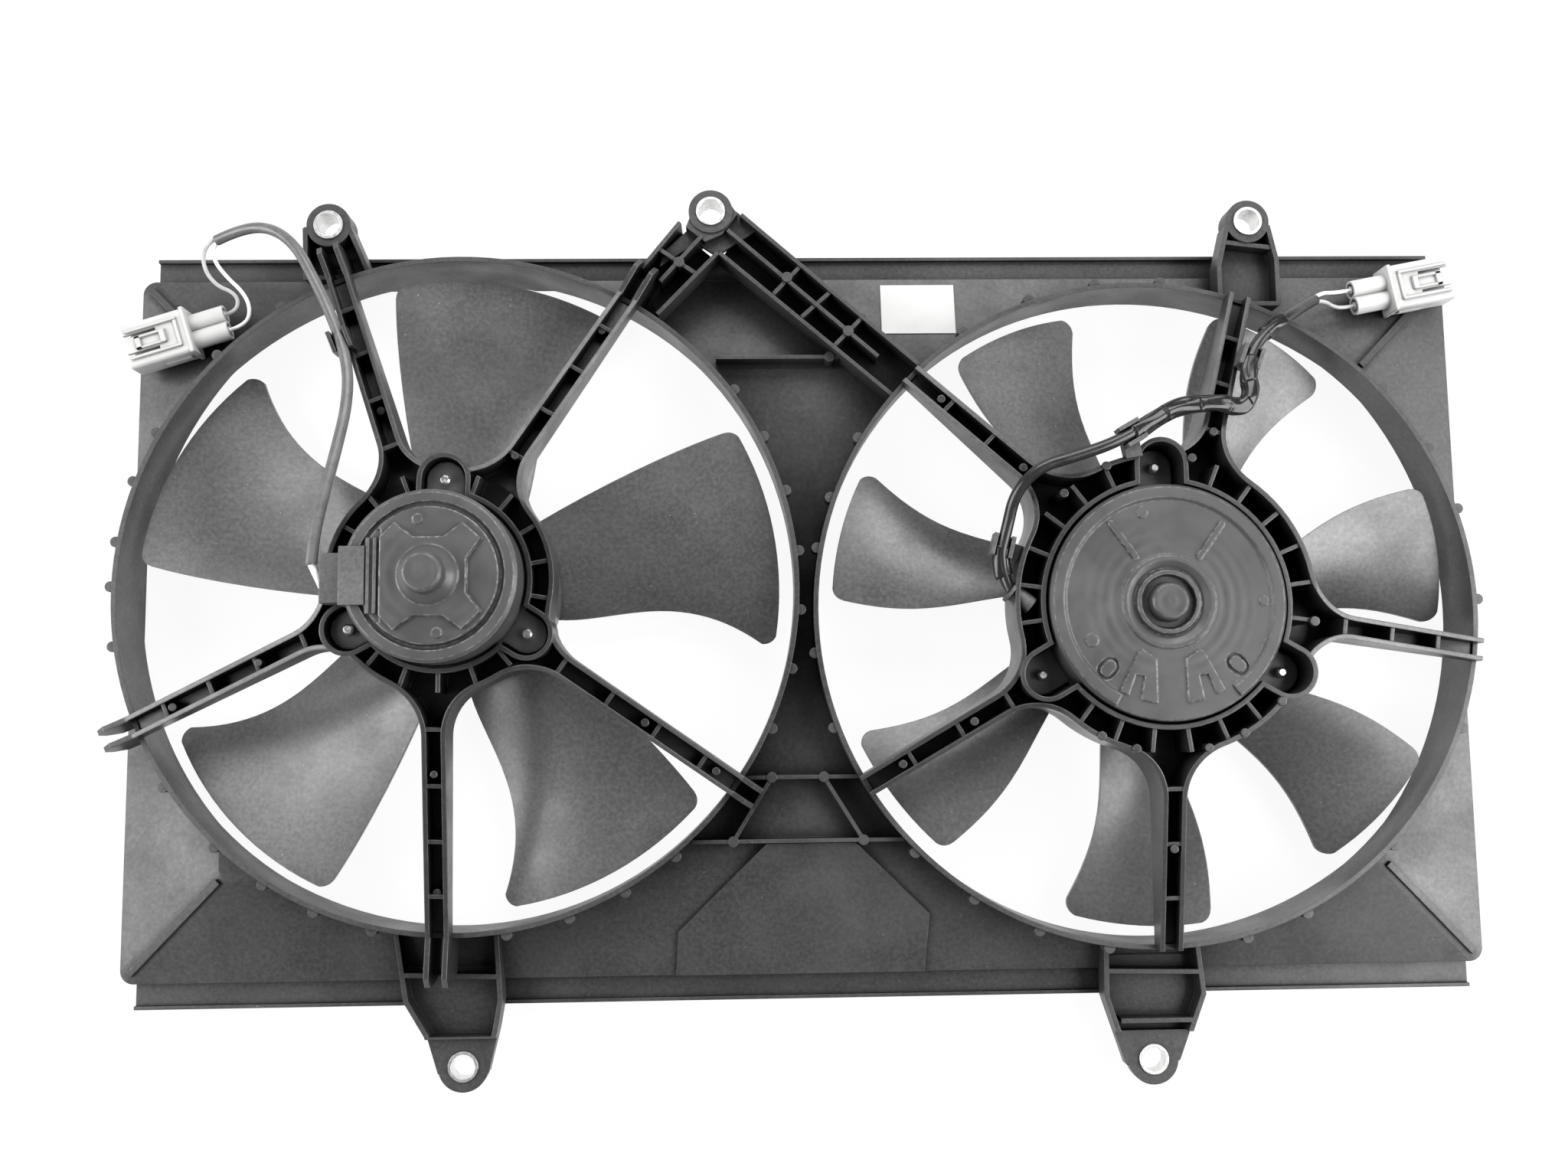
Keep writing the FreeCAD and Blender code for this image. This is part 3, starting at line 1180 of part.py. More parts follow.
def lead_boot():
    """The grommet through the right hub's wall, out of which the lead comes."""
    start, end = V(*BOOT_START), V(*RIGHT_LEAD[0])
    along = (end - start).normalize()
    radius, thickness = BOOT_COLLAR
    collar = Part.makeCylinder(radius, thickness, end - along * thickness, along)
    return rod(BOOT_START, RIGHT_LEAD[0], BOOT_RADIUS).fuse(collar).removeSplitter()


def lead(name, points, diameter):
    """A round lead along straight runs that are joined by tangent arcs."""
    route = [V(*p) for p in points]
    edges, radii, start = [], [], route[0]
    for before, corner, after in zip(route, route[1:], route[2:]):
        back, ahead = before - corner, after - corner
        trim = ARC_SHARE * min(back.Length, ahead.Length)
        back.normalize()
        ahead.normalize()
        half_turn = (math.pi - back.getAngle(ahead)) / 2
        radius = trim / math.tan(half_turn)
        inward = (back + ahead).normalize()
        middle = corner + inward * (math.hypot(radius, trim) - radius)
        entry, leave = corner + back * trim, corner + ahead * trim
        edges.append(Part.LineSegment(start, entry).toShape())
        edges.append(Part.Arc(entry, middle, leave).toShape())
        radii.append(radius)
        start = leave
    edges.append(Part.LineSegment(start, route[-1]).toShape())
    path = Part.Wire(edges)
    section = Part.Wire(Part.Circle(route[0], route[1] - route[0], diameter / 2).toShape())
    solid = path.makePipeShell([section], True, True)
    filled = solid.Volume / (path.Length * math.pi * diameter ** 2 / 4)
    report = [round(r / diameter, 1) for r in radii]
    print(name, "length", round(path.Length, 1), "filled", round(filled, 4), "radii in diameters", report)
    return solid


def lead_clip(diameter, place, carrier):
    """An open channel round the lead, halfway along one run, on a foot that meets the carrier."""
    run, foot, foot_bottom = place
    (x0, y0, z0), (x1, y1, z1) = run
    middle = ((x0 + x1) / 2, (y0 + y1) / 2)
    length = math.hypot(x1 - x0, y1 - y0)
    ux, uy = (x1 - x0) / length, (y1 - y0) / length
    half = CLIP_LENGTH / 2
    centre_z = (z0 + z1) / 2
    floor = centre_z - diameter / 2 - CLIP_GAP - abs(z1 - z0) / length * half
    inside = diameter + 2 * CLIP_GAP
    ends = [(middle[0] + s * ux * half, middle[1] + s * uy * half) for s in (-1, 1)]
    past = [(middle[0] + s * ux * (half + 1), middle[1] + s * uy * (half + 1)) for s in (-1, 1)]
    block = bar(*ends, inside + 2 * CLIP_WALL, floor - CLIP_WALL, centre_z + diameter / 2)
    channel = bar(*past, inside, floor, centre_z + diameter)
    stem = bar(middle, foot, CLIP_FOOT, foot_bottom, floor)
    whole = block.fuse(stem).cut([channel, carrier]).removeSplitter()
    return sorted(whole.Solids, key=lambda s: s.Volume)[-1]


def connector(place):
    """A two-way connector: two barrels for the wires, and a shell with a socket and a latch."""
    (x, y, z), heading = place
    along = V(1, 0, 0)
    half_width, half_height = CONNECTOR_WIDTH / 2, CONNECTOR_HEIGHT / 2
    shell = box(BARREL_LENGTH, CONNECTOR_LENGTH, -half_width, half_width, -half_height, half_height)
    long_edges = [e for e in shell.Edges if abs(e.BoundBox.XLength - e.Length) < 0.01]
    shell = shell.makeFillet(CONNECTOR_ROUND, long_edges)
    groove_radius, groove_depth = SEAL_GROOVE
    tools = []
    barrels = []
    for side in (-1, 1):
        centre = V(0, side * BARREL_OFFSET, 0)
        barrels.append(Part.makeCylinder(BARREL_RADIUS, BARREL_LENGTH + 1, centre, along))
        groove = Part.makeCylinder(groove_radius, groove_depth, centre, along)
        tools.append(groove.cut(Part.makeCylinder(SEAL_RADIUS, groove_depth, centre, along)))
        low, high = sorted((side * LATCH_SLOTS[0], side * LATCH_SLOTS[1]))
        mouth = CONNECTOR_LENGTH - SOCKET_DEPTH
        tools.append(box(mouth, CONNECTOR_LENGTH + 1, low, high, 0, half_height + 1))
    inner = (half_width - CONNECTOR_WALL, half_height - CONNECTOR_WALL)
    socket = box(mouth, CONNECTOR_LENGTH + 1, -inner[0], inner[0], -inner[1], inner[1])
    width, height = TOWER
    tower = box(mouth - 1, CONNECTOR_LENGTH - 2, -width / 2, width / 2, -height / 2, height / 2)
    whole = shell.fuse(barrels).cut([socket] + tools).fuse(tower).removeSplitter()
    whole.rotate(V(0, 0, 0), V(0, 0, 1), heading)
    whole.translate(V(x, y, z))
    return whole


def part_label():
    """A thin plate on the sloping part of the deck, near the top edge."""
    slope = (DECK_HEIGHT - EDGE_HEIGHT) / HIP_RUN
    y1 = BODY_TOP - LABEL_EDGE
    y0 = y1 - LABEL_DEPTH
    z1 = EDGE_HEIGHT + slope * LABEL_EDGE
    z0 = z1 + slope * LABEL_DEPTH
    chord_height = y0 - RIGHT_AXIS[1]
    half_chord = math.sqrt(max(RIGHT_RING_RADIUS ** 2 - chord_height ** 2, 0.0))
    x1 = RIGHT_AXIS[0] - half_chord - LABEL_CLEARANCE
    x0 = x1 - LABEL_WIDTH
    side = [V(x0, y0, z0), V(x0, y1, z1), V(x0, y1, z1 + LABEL_THICKNESS), V(x0, y0, z0 + LABEL_THICKNESS)]
    return Part.Face(Part.makePolygon(side + side[:1])).extrude(V(x1 - x0, 0, 0))


def export_lead(side, points, diameter, wires, plug, stops):
    """A sleeve, its two wires and their connector; each meets the next face to face."""
    sleeve = lead(side + "_lead", points, diameter).cut(stops)
    housing = connector(plug)
    export(side + "_lead", sleeve)
    for letter, route in zip("ab", wires):
        name = side + "_wire_" + letter
        export(name, lead(name, route, WIRE_DIAMETER).cut([sleeve, housing]))
    export(side + "_connector", housing)


def export_leads(left_carrier, right_carrier):
    boot = lead_boot()
    export("left_terminal_cover", terminal_cover())
    export("left_lead_plug", lead_plug())
    export("left_lead_tail", lead_tail())
    export("right_lead_boot", boot)
    wires = (LEFT_WIRE_A, LEFT_WIRE_B)
    export_lead("left", LEFT_LEAD, LEFT_LEAD_DIAMETER, wires, LEFT_CONNECTOR, [])
    wires = (RIGHT_WIRE_A, RIGHT_WIRE_B)
    export_lead("right", RIGHT_LEAD, RIGHT_LEAD_DIAMETER, wires, RIGHT_CONNECTOR, [boot])
    export("left_lead_clip", lead_clip(LEFT_LEAD_DIAMETER, LEFT_CLIP, left_carrier))
    clips = [lead_clip(RIGHT_LEAD_DIAMETER, place, right_carrier) for place in RIGHT_CLIPS]
    export("right_lead_clips", Part.makeCompound(clips))


# ---------------------------------------------------------------- build
def export_frame(carriers):
    """The panel, its tabs and brace, and the bushings; each is cut to meet its neighbours."""
    tabs = {
        "centre_brace": centre_brace(),
        "left_top_tab": left_top_tab(),
        "right_top_tab": right_top_tab(),
        "left_bottom_tab": bottom_tab(LEFT_BOTTOM_OUTLINE, LEFT_BOTTOM_HOLE, LEFT_BOTTOM_CROSS),
        "right_bottom_tab": bottom_tab(RIGHT_BOTTOM_OUTLINE, RIGHT_BOTTOM_HOLE, RIGHT_BOTTOM_CROSS),
    }
    for name, tab in tabs.items():
        export(name, tab.cut(carriers))
    export("mounting_bushings", mounting_bushings())
    keep_out = tabs.pop("centre_brace").fuse(list(tabs.values()) + carriers)
    export("shroud_panel", shroud_panel(keep_out))


def export_motor(m):
    name, low, top = m["name"], m["can_bottom"], m["boss_top"] - CAN_WALL
    export(name + "_motor_can", left_can(m) if m is LEFT else right_can(m))
    export(name + "_motor_front_plate", front_plate(m))
    export(name + "_motor_flange", flange(m))
    export(name + "_motor_screws", screws(m))
    export(name + "_motor_shaft", shaft(m))
    export(name + "_front_bearing", bearing(m, low - 5, low + 4))
    export(name + "_rear_bearing", bearing(m, top - 8, top))
    export(name + "_armature_core", armature_core(m))
    export(name + "_armature_windings", armature_windings(m))
    export(name + "_commutator", commutator(m))
    export(name + "_motor_magnets", magnets(m))
    export(name + "_brush_holder", brush_holder(m))
    export(name + "_brushes", brushes(m))
    export(name + "_brush_springs", brush_springs(m))


def build():
    os.makedirs("parts", exist_ok=True)
    carriers = [motor_carrier(LEFT), motor_carrier(RIGHT).cut(lead_boot())]
    export_frame(carriers)
    for m, carrier in zip((LEFT, RIGHT), carriers):
        name = m["name"]
        export(name + "_fan_ring", fan_ring(m).cut(carrier))
        export(name + "_motor_carrier", carrier)
        export(name + "_fan", fan(m))
        export(name + "_fan_nut", fan_nut(m))
        export_motor(m)
    export("part_label", part_label())
    export_leads(*carriers)


build()
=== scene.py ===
import bmesh
import bpy
import math
from mathutils import Matrix, Vector


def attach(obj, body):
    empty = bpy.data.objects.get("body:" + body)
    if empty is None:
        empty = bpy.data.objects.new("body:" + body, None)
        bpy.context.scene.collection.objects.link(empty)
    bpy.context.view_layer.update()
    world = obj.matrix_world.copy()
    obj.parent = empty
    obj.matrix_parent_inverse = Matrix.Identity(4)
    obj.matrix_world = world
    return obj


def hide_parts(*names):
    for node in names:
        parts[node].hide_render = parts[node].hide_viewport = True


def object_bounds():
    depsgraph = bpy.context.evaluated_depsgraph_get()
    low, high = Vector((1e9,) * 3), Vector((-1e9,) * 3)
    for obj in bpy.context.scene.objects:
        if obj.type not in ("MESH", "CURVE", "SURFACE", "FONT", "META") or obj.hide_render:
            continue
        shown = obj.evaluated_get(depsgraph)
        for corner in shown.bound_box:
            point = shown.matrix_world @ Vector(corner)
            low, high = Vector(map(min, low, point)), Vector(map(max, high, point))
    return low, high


# Looks of a twin radiator fan shroud that lies on the face that meets the radiator.
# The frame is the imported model's: +X wide side, +Y top tabs, +Z engine side. Its unit is the
# metre. The part's own places and sizes are given in millimetres and multiplied by MM.

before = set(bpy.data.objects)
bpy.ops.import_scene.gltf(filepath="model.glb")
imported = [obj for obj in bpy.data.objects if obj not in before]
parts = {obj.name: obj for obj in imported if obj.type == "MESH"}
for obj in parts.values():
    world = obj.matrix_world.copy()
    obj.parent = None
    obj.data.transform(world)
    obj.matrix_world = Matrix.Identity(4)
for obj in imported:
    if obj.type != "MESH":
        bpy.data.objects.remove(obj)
cad_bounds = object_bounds()
scene = bpy.context.scene
scene.view_settings.view_transform = "Standard"

MM = 0.001
FANS = {"left": (-177.3, 23.0), "right": (174.2, 9.7)}  # the fans' axes, in millimetres

# ---------------------------------------------------------------- camera
CAMERA_PLACE = (-0.03149, -0.04825, 0.7408)
CAMERA_TURN = (-0.1007854, 0.0276708, 0.0099195)  # about X, then Y, then Z
CAMERA_LENS = 31.766
SENSOR_WIDTH = 36.0
CAMERA_CLIP = (0.02, 20.0)


def add_camera():
    data = bpy.data.cameras.new("camera")
    data.sensor_fit = "HORIZONTAL"
    data.sensor_width = SENSOR_WIDTH
    data.lens = CAMERA_LENS
    data.clip_start, data.clip_end = CAMERA_CLIP
    camera = bpy.data.objects.new("camera", data)
    scene.collection.objects.link(camera)
    turn = Matrix.Identity(3)
    for angle, axis in zip(CAMERA_TURN, "XYZ"):
        turn = Matrix.Rotation(angle, 3, axis) @ turn
    camera.matrix_world = Matrix.Translation(CAMERA_PLACE) @ turn.transposed().to_4x4()
    scene.camera = camera


add_camera()


# ---------------------------------------------------------------- materials
# A noise's scale counts its features per metre. ramp() spreads the part of its input between
# the first two numbers over the range between the last two.
CLOUDING = (0.3, 0.7)  # the part of a noise that makes soft clouds
GRAIN_SHADE, SCUFF_SHADE, STREAK_SHADE = 2.1, 2.4, 2.0  # times the plain colour
STREAK_STRETCH = (0.15, 1.0, 1.0)  # long along X
DUST_COLOUR = (0.5, 0.49, 0.47)
# Painted shade: recesses that ambient occlusion finds go towards a dark tone of the plain colour,
# standing in for the shade that falls in them.
PAINTED_SHADE_SHARE = 0.9  # how much of a recess's colour gives way to the dark one
PAINTED_SHADE_TONE = 0.15
RIPPLE_TURN = 1100.0  # radians per metre away from a motor's axis
RIPPLE_FADE = (0.028, 0.046)  # metres from that axis, from full ripples to none
RIPPLE_HEIGHT = 1.6


class Shader:
    """A node material under construction; out is its Principled node."""

    def __init__(self, name):
        self.material = bpy.data.materials.new(name)
        self.material.use_nodes = True
        self.tree = self.material.node_tree
        self.out = self.tree.nodes["Principled BSDF"]
        self.place = self.node("ShaderNodeTexCoord").outputs["Object"]

    def node(self, kind, **settings):
        made = self.tree.nodes.new(kind)
        for key, value in settings.items():
            setattr(made, key, value)
        return made

    def feed(self, target, value):
        if isinstance(value, bpy.types.NodeSocket):
            self.tree.links.new(value, target)
        else:
            target.default_value = value

    def noise(self, scale, detail=2.0, stretch=None):
        made = self.node("ShaderNodeTexNoise")
        made.inputs["Scale"].default_value = scale
        made.inputs["Detail"].default_value = detail
        self.feed(made.inputs["Vector"], self.stretched(stretch))
        return made.outputs["Fac"]

    def clouds(self, scale, detail=2.0, low=0.0, high=1.0):
        """Soft clouds between the two values."""
        return self.ramp(self.noise(scale, detail), *CLOUDING, low, high)

    def stretched(self, stretch):
        if stretch is None:
            return self.place
        made = self.node("ShaderNodeMapping")
        self.feed(made.inputs["Vector"], self.place)
        made.inputs["Scale"].default_value = stretch
        return made.outputs["Vector"]

    def specks(self, scale, size):
        """1 in small round specks, one in each cell of that scale at most."""
        made = self.node("ShaderNodeTexVoronoi")
        made.inputs["Scale"].default_value = scale
        self.feed(made.inputs["Vector"], self.place)
        return self.ramp(made.outputs["Distance"], size * 0.6, size, 1.0, 0.0)

    def ramp(self, value, low, high, start, end):
        made = self.node("ShaderNodeMapRange")
        self.feed(made.inputs["Value"], value)
        ends = {"From Min": low, "From Max": high, "To Min": start, "To Max": end}
        for key, number in ends.items():
            made.inputs[key].default_value = number
        return made.outputs["Result"]

    def math(self, operation, a, b=0.0):
        made = self.node("ShaderNodeMath", operation=operation)
        self.feed(made.inputs[0], a)
        self.feed(made.inputs[1], b)
        return made.outputs[0]

    def blend(self, factor, a, b):
        """A colour between a and b."""
        made = self.node("ShaderNodeMix", data_type="RGBA")
        self.feed(made.inputs["Factor"], factor)
        for key, colour in (("A", a), ("B", b)):
            socket = next(s for s in made.inputs if s.name == key and s.type == "RGBA")
            fed = isinstance(colour, bpy.types.NodeSocket)
            self.feed(socket, colour if fed else (*colour, 1.0))
        return next(s for s in made.outputs if s.type == "RGBA")

    def clouded(self, colour, dark, light, scale, detail=2.0):
        """The colour, clouded between two shades of it."""
        return self.blend(self.clouds(scale, detail), shade(colour, dark), shade(colour, light))

    def with_painted_shade(self, base, painted_shade_mask, colour):
        """The base colour with shade painted in: near black where hidden is 1."""
        share = self.math("MULTIPLY", painted_shade_mask, PAINTED_SHADE_SHARE)
        return self.blend(share, base, shade(colour, PAINTED_SHADE_TONE))

    def rounded(self, radius):
        """The normal that rounds sharp edges."""
        bevel = self.node("ShaderNodeBevel", samples=4)
        bevel.inputs["Radius"].default_value = radius
        return bevel.outputs["Normal"]

    def rim(self, rounded):
        """1 along the edges that this normal rounds."""
        geometry = self.node("ShaderNodeNewGeometry")
        dot = self.node("ShaderNodeVectorMath", operation="DOT_PRODUCT")
        self.feed(dot.inputs[0], rounded)
        self.feed(dot.inputs[1], geometry.outputs["Normal"])
        return self.ramp(dot.outputs["Value"], 0.97, 0.75, 0.0, 1.0)

    def recess(self, distance):
        """1 deep in a recess and 0 on open surfaces."""
        made = self.node("ShaderNodeAmbientOcclusion", samples=6)
        made.inputs["Distance"].default_value = distance
        return self.ramp(made.outputs["AO"], 0.2, 0.85, 1.0, 0.0)

    def radius(self, centre):
        """The distance from the upright axis through that point."""
        flat = self.node("ShaderNodeVectorMath", operation="MULTIPLY")
        self.feed(flat.inputs[0], self.place)
        flat.inputs[1].default_value = (1, 1, 0)
        away = self.node("ShaderNodeVectorMath", operation="DISTANCE")
        self.feed(away.inputs[0], flat.outputs["Vector"])
        away.inputs[1].default_value = (*centre, 0)
        return away.outputs["Value"]

    def surface(self, base, roughness, metallic=0.0):
        self.feed(self.out.inputs["Base Color"], base)
        self.feed(self.out.inputs["Roughness"], roughness)
        self.feed(self.out.inputs["Metallic"], metallic)

    def bump(self, height, distance, normal, strength):
        made = self.node("ShaderNodeBump")
        made.inputs["Strength"].default_value = strength
        made.inputs["Distance"].default_value = distance
        self.feed(made.inputs["Height"], height)
        if normal is not None:
            self.feed(made.inputs["Normal"], normal)
        self.feed(self.out.inputs["Normal"], made.outputs["Normal"])


def shade(colour, factor):
    """The colour, that many times as bright."""
    return tuple(min(c * factor, 1.0) for c in colour)


def moulded(
    name, colour, roughness=0.42, cloud=0.2, dust=0.3, edge_tone=1.8, edge=0.6 * MM,
    painted_shade_reach=18 * MM, scuff=0.5, gloss=0.75,
):
    """Moulded plastic with soft clouds, fine grain, dust specks and painted highlights and shade.

    cloud, dust and scuff are strengths, and wear is the tone of the highlight painted along a
    rounded edge. edge is that edge's radius, hollow the reach of the shade painted into recesses,
    and gloss the specular level, which that painted shade dims too.
    """
    s = Shader(name)
    base = s.clouded(colour, 1 - cloud, 1 + cloud, 26.0, 3.0)
    grain = s.ramp(s.noise(520.0, 4.0), 0.38, 0.66, 0.0, 1.0)
    base = s.blend(s.math("MULTIPLY", grain, 0.5), base, shade(colour, GRAIN_SHADE))
    scuffed = s.ramp(s.noise(9.0, 6.0), 0.48, 0.74, 0.0, scuff)
    base = s.blend(scuffed, base, shade(colour, SCUFF_SHADE))
    streaks = s.ramp(s.noise(60.0, 4.0, STREAK_STRETCH), 0.56, 0.72, 0.0, 0.5 * scuff)
    base = s.blend(streaks, base, shade(colour, STREAK_SHADE))
    dusty = s.ramp(s.noise(60.0), 0.5, 0.62, 0.0, dust)
    base = s.blend(s.math("MULTIPLY", s.specks(170.0, 0.07), dusty), base, DUST_COLOUR)
    normal = s.rounded(edge)
    # Painted highlight: rounded edges turn paler in clouds, standing in for the light that edges
    # catch.
    painted_edge_highlight = s.math("MULTIPLY", s.rim(normal), s.clouds(140.0, low=0.3))
    base = s.blend(painted_edge_highlight, base, shade(colour, edge_tone))
    # Painted shade: recesses that ambient occlusion finds go near black, standing in for the shade
    # in them.
    painted_shade_mask = s.recess(painted_shade_reach)
    rough = s.clouds(38.0, 4.0, roughness - 0.08, roughness + 0.1)
    s.surface(s.with_painted_shade(base, painted_shade_mask, colour), rough)
    patches = s.ramp(s.noise(12.0, 6.0), 0.35, 0.7, 0.84 * gloss, 1.15 * gloss)
    # The painted shade also dims the reflections in those recesses.
    sheen = s.math("MULTIPLY", patches, s.ramp(painted_shade_mask, 0.0, 1.0, 1.0, 0.2))
    sheen = s.math("MULTIPLY", sheen, s.ramp(s.noise(430.0, 3.0), 0.36, 0.66, 0.87, 1.12))
    s.feed(s.out.inputs["Specular IOR Level"], sheen)
    s.bump(s.noise(900.0, 3.0), 0.05 * MM, normal, 0.5)
    return s.material


def coated(
    name, colour, metallic=0.3, roughness=0.4, edge_tone=(0.5, 0.49, 0.47), worn=0.8, axis=(0.0, 0.0),
):
    """Dark coated sheet steel, rippled round its axis and worn in specks along its edges.

    wear is the colour under the coat, worn how much of it shows, and axis is in millimetres.
    """
    s = Shader(name)
    base = s.clouded(colour, 0.8, 1.2, 34.0, 4.0)
    stain = s.ramp(s.noise(9.0), 0.5, 0.75, 0.0, 0.45)
    base = s.blend(stain, base, shade(colour, 0.55))
    normal = s.rounded(1.3 * MM)
    flecks = s.ramp(s.noise(420.0, 3.0), 0.44, 0.58, 0.1, 1.0)
    chipped = s.math("MULTIPLY", s.math("MULTIPLY", s.rim(normal), flecks), worn)
    # Chipped specks show the colour under the coat. Recesses get painted shade and go near black.
    base = s.with_painted_shade(s.blend(chipped, base, edge_tone), s.recess(8 * MM), colour)
    s.surface(base, s.clouds(120.0, 3.0, roughness - 0.07, roughness + 0.1), metallic)
    away = s.radius([c * MM for c in axis])
    wave = s.math("SINE", s.math("MULTIPLY", away, RIPPLE_TURN))
    ripple = s.math("MULTIPLY", wave, s.ramp(away, *RIPPLE_FADE, RIPPLE_HEIGHT, 0.0))
    s.bump(s.math("ADD", s.noise(700.0, 4.0), ripple), 0.05 * MM, normal, 0.6)
    return s.material


def metal(name, colour, roughness=0.28):
    """Bare metal, slightly uneven in shade and in gloss."""
    s = Shader(name)
    rough = s.clouds(700.0, low=roughness - 0.06, high=roughness + 0.12)
    s.surface(s.clouded(colour, 0.82, 1.08, 300.0, 3.0), rough, metallic=1.0)
    s.bump(s.noise(2200.0), 0.02 * MM, s.rounded(0.3 * MM), 0.3)
    return s.material


def insulation(name, colour, roughness=0.38, dents=0.35):
    """Soft tubing or wire insulation, slightly uneven along its length."""
    s = Shader(name)
    rough = s.clouds(220.0, low=roughness - 0.05, high=roughness + 0.12)
    s.surface(s.clouded(colour, 0.85, 1.12, 150.0, 3.0), rough)
    s.bump(s.noise(260.0, 3.0), 0.25 * MM, None, dents)
    return s.material


def pale_plastic(name, colour, through):
    """Unpigmented plastic; through is how much light it lets into itself."""
    s = Shader(name)
    base = s.clouded(colour, 0.94, 1.04, 60.0)
    # Painted shade: recesses that ambient occlusion finds go towards a quarter of the plain colour.
    base = s.blend(s.math("MULTIPLY", s.recess(5 * MM), 0.75), base, shade(colour, 0.25))
    s.surface(base, 0.36)
    s.out.inputs["Subsurface Weight"].default_value = through
    s.out.inputs["Subsurface Radius"].default_value = (1.0, 1.0, 1.0)
    s.out.inputs["Subsurface Scale"].default_value = 1.5 * MM
    s.bump(s.noise(900.0), 0.02 * MM, s.rounded(0.5 * MM), 0.3)
    return s.material


SHROUD = moulded(
    "shroud_plastic", (0.032, 0.032, 0.033), roughness=0.4, edge_tone=2.8, painted_shade_reach=34 * MM, gloss=0.58,
)
CARRIER = moulded(
    "carrier_plastic", (0.02, 0.02, 0.0205), roughness=0.36, edge_tone=8.0, edge=0.9 * MM, scuff=0.3,
)
BLADE_LOOK = {
    "roughness": 0.33, "cloud": 0.12, "dust": 0.6, "painted_shade_reach": 5 * MM, "scuff": 0.25, "edge_tone": 3.0,
}
LEFT_BLADES = moulded("left_fan_plastic", (0.06, 0.06, 0.061), **BLADE_LOOK)
RIGHT_BLADES = moulded("right_fan_plastic", (0.064, 0.064, 0.065), **BLADE_LOOK)
LEFT_MOTOR = coated("left_motor_steel", (0.082, 0.082, 0.083), worn=1.0, axis=FANS["left"])
RIGHT_MOTOR = coated("right_motor_steel", (0.078, 0.078, 0.079), axis=FANS["right"])
ZINC = metal("zinc", (0.78, 0.78, 0.77))
STEEL = metal("ground_steel", (0.62, 0.62, 0.63), 0.22)
COPPER = metal("copper", (0.72, 0.38, 0.2), 0.35)
FERRITE = coated(
    "ferrite", (0.09, 0.09, 0.09), metallic=0.0, roughness=0.6, edge_tone=(0.2, 0.2, 0.2), worn=0.2,
)
CARD = moulded("card_plastic", (0.3, 0.22, 0.13), roughness=0.6)
TERMINAL = moulded("terminal_plastic", (0.07, 0.07, 0.071), roughness=0.45, edge_tone=1.7, painted_shade_reach=4 * MM)
DARK_PLUG = moulded("plug_plastic", (0.06, 0.06, 0.062), edge_tone=2.0, painted_shade_reach=4 * MM)
SLEEVE_LEFT = insulation("left_sleeve", (0.12, 0.12, 0.12), 0.26)
SLEEVE_RIGHT = insulation("right_sleeve", (0.02, 0.02, 0.021), 0.2, 0.15)
TAPE = insulation("tape", (0.012, 0.012, 0.0125), 0.16, 0.2)
GREY_WIRE = insulation("grey_wire", (0.42, 0.42, 0.41))
WHITE_WIRE = insulation("white_wire", (0.86, 0.86, 0.85))
PALE = pale_plastic("connector_plastic", (0.52, 0.52, 0.515), 0.1)
LABEL = pale_plastic("label_film", (0.54, 0.54, 0.535), 0.0)
BUSHING = metal("bushing_zinc", (0.86, 0.86, 0.85), 0.34)

FINISH = {
    "shroud_panel": SHROUD,
    "mounting_bushings": BUSHING,
    "part_label": LABEL,
    "left_fan": LEFT_BLADES,
    "right_fan": RIGHT_BLADES,
    "left_terminal_cover": TERMINAL,
    "left_lead_plug": DARK_PLUG,
    "left_lead_tail": WHITE_WIRE,
    "right_lead_boot": DARK_PLUG,
    "left_lead_clip": CARRIER,
    "right_lead_clips": TERMINAL,
    "left_connector": PALE,
    "right_connector": PALE,
}
FINISH_BY_ENDING = (  # the first that fits is taken
    ("_motor_carrier", CARRIER),
    ("left_motor_can", LEFT_MOTOR), ("_motor_can", RIGHT_MOTOR),
    ("left_motor_front_plate", LEFT_MOTOR), ("_front_plate", RIGHT_MOTOR),
    ("left_motor_flange", LEFT_MOTOR), ("_motor_flange", RIGHT_MOTOR),
    ("_screws", ZINC), ("_nut", ZINC),
    ("_shaft", STEEL), ("_bearing", STEEL), ("_core", STEEL), ("_springs", STEEL),
    ("_windings", COPPER), ("_commutator", COPPER),
    ("_magnets", FERRITE), ("_brushes", FERRITE), ("_brush_holder", CARD),
)


def finish_of(name):
    """A node's material: its own, or by its name's ending, or the shroud's."""
    if name in FINISH:
        return FINISH[name]
    fitting = (material for ending, material in FINISH_BY_ENDING if name.endswith(ending))
    return next(fitting, SHROUD)


for part_name, part in parts.items():
    part.data.materials.clear()
    part.data.materials.append(finish_of(part_name))


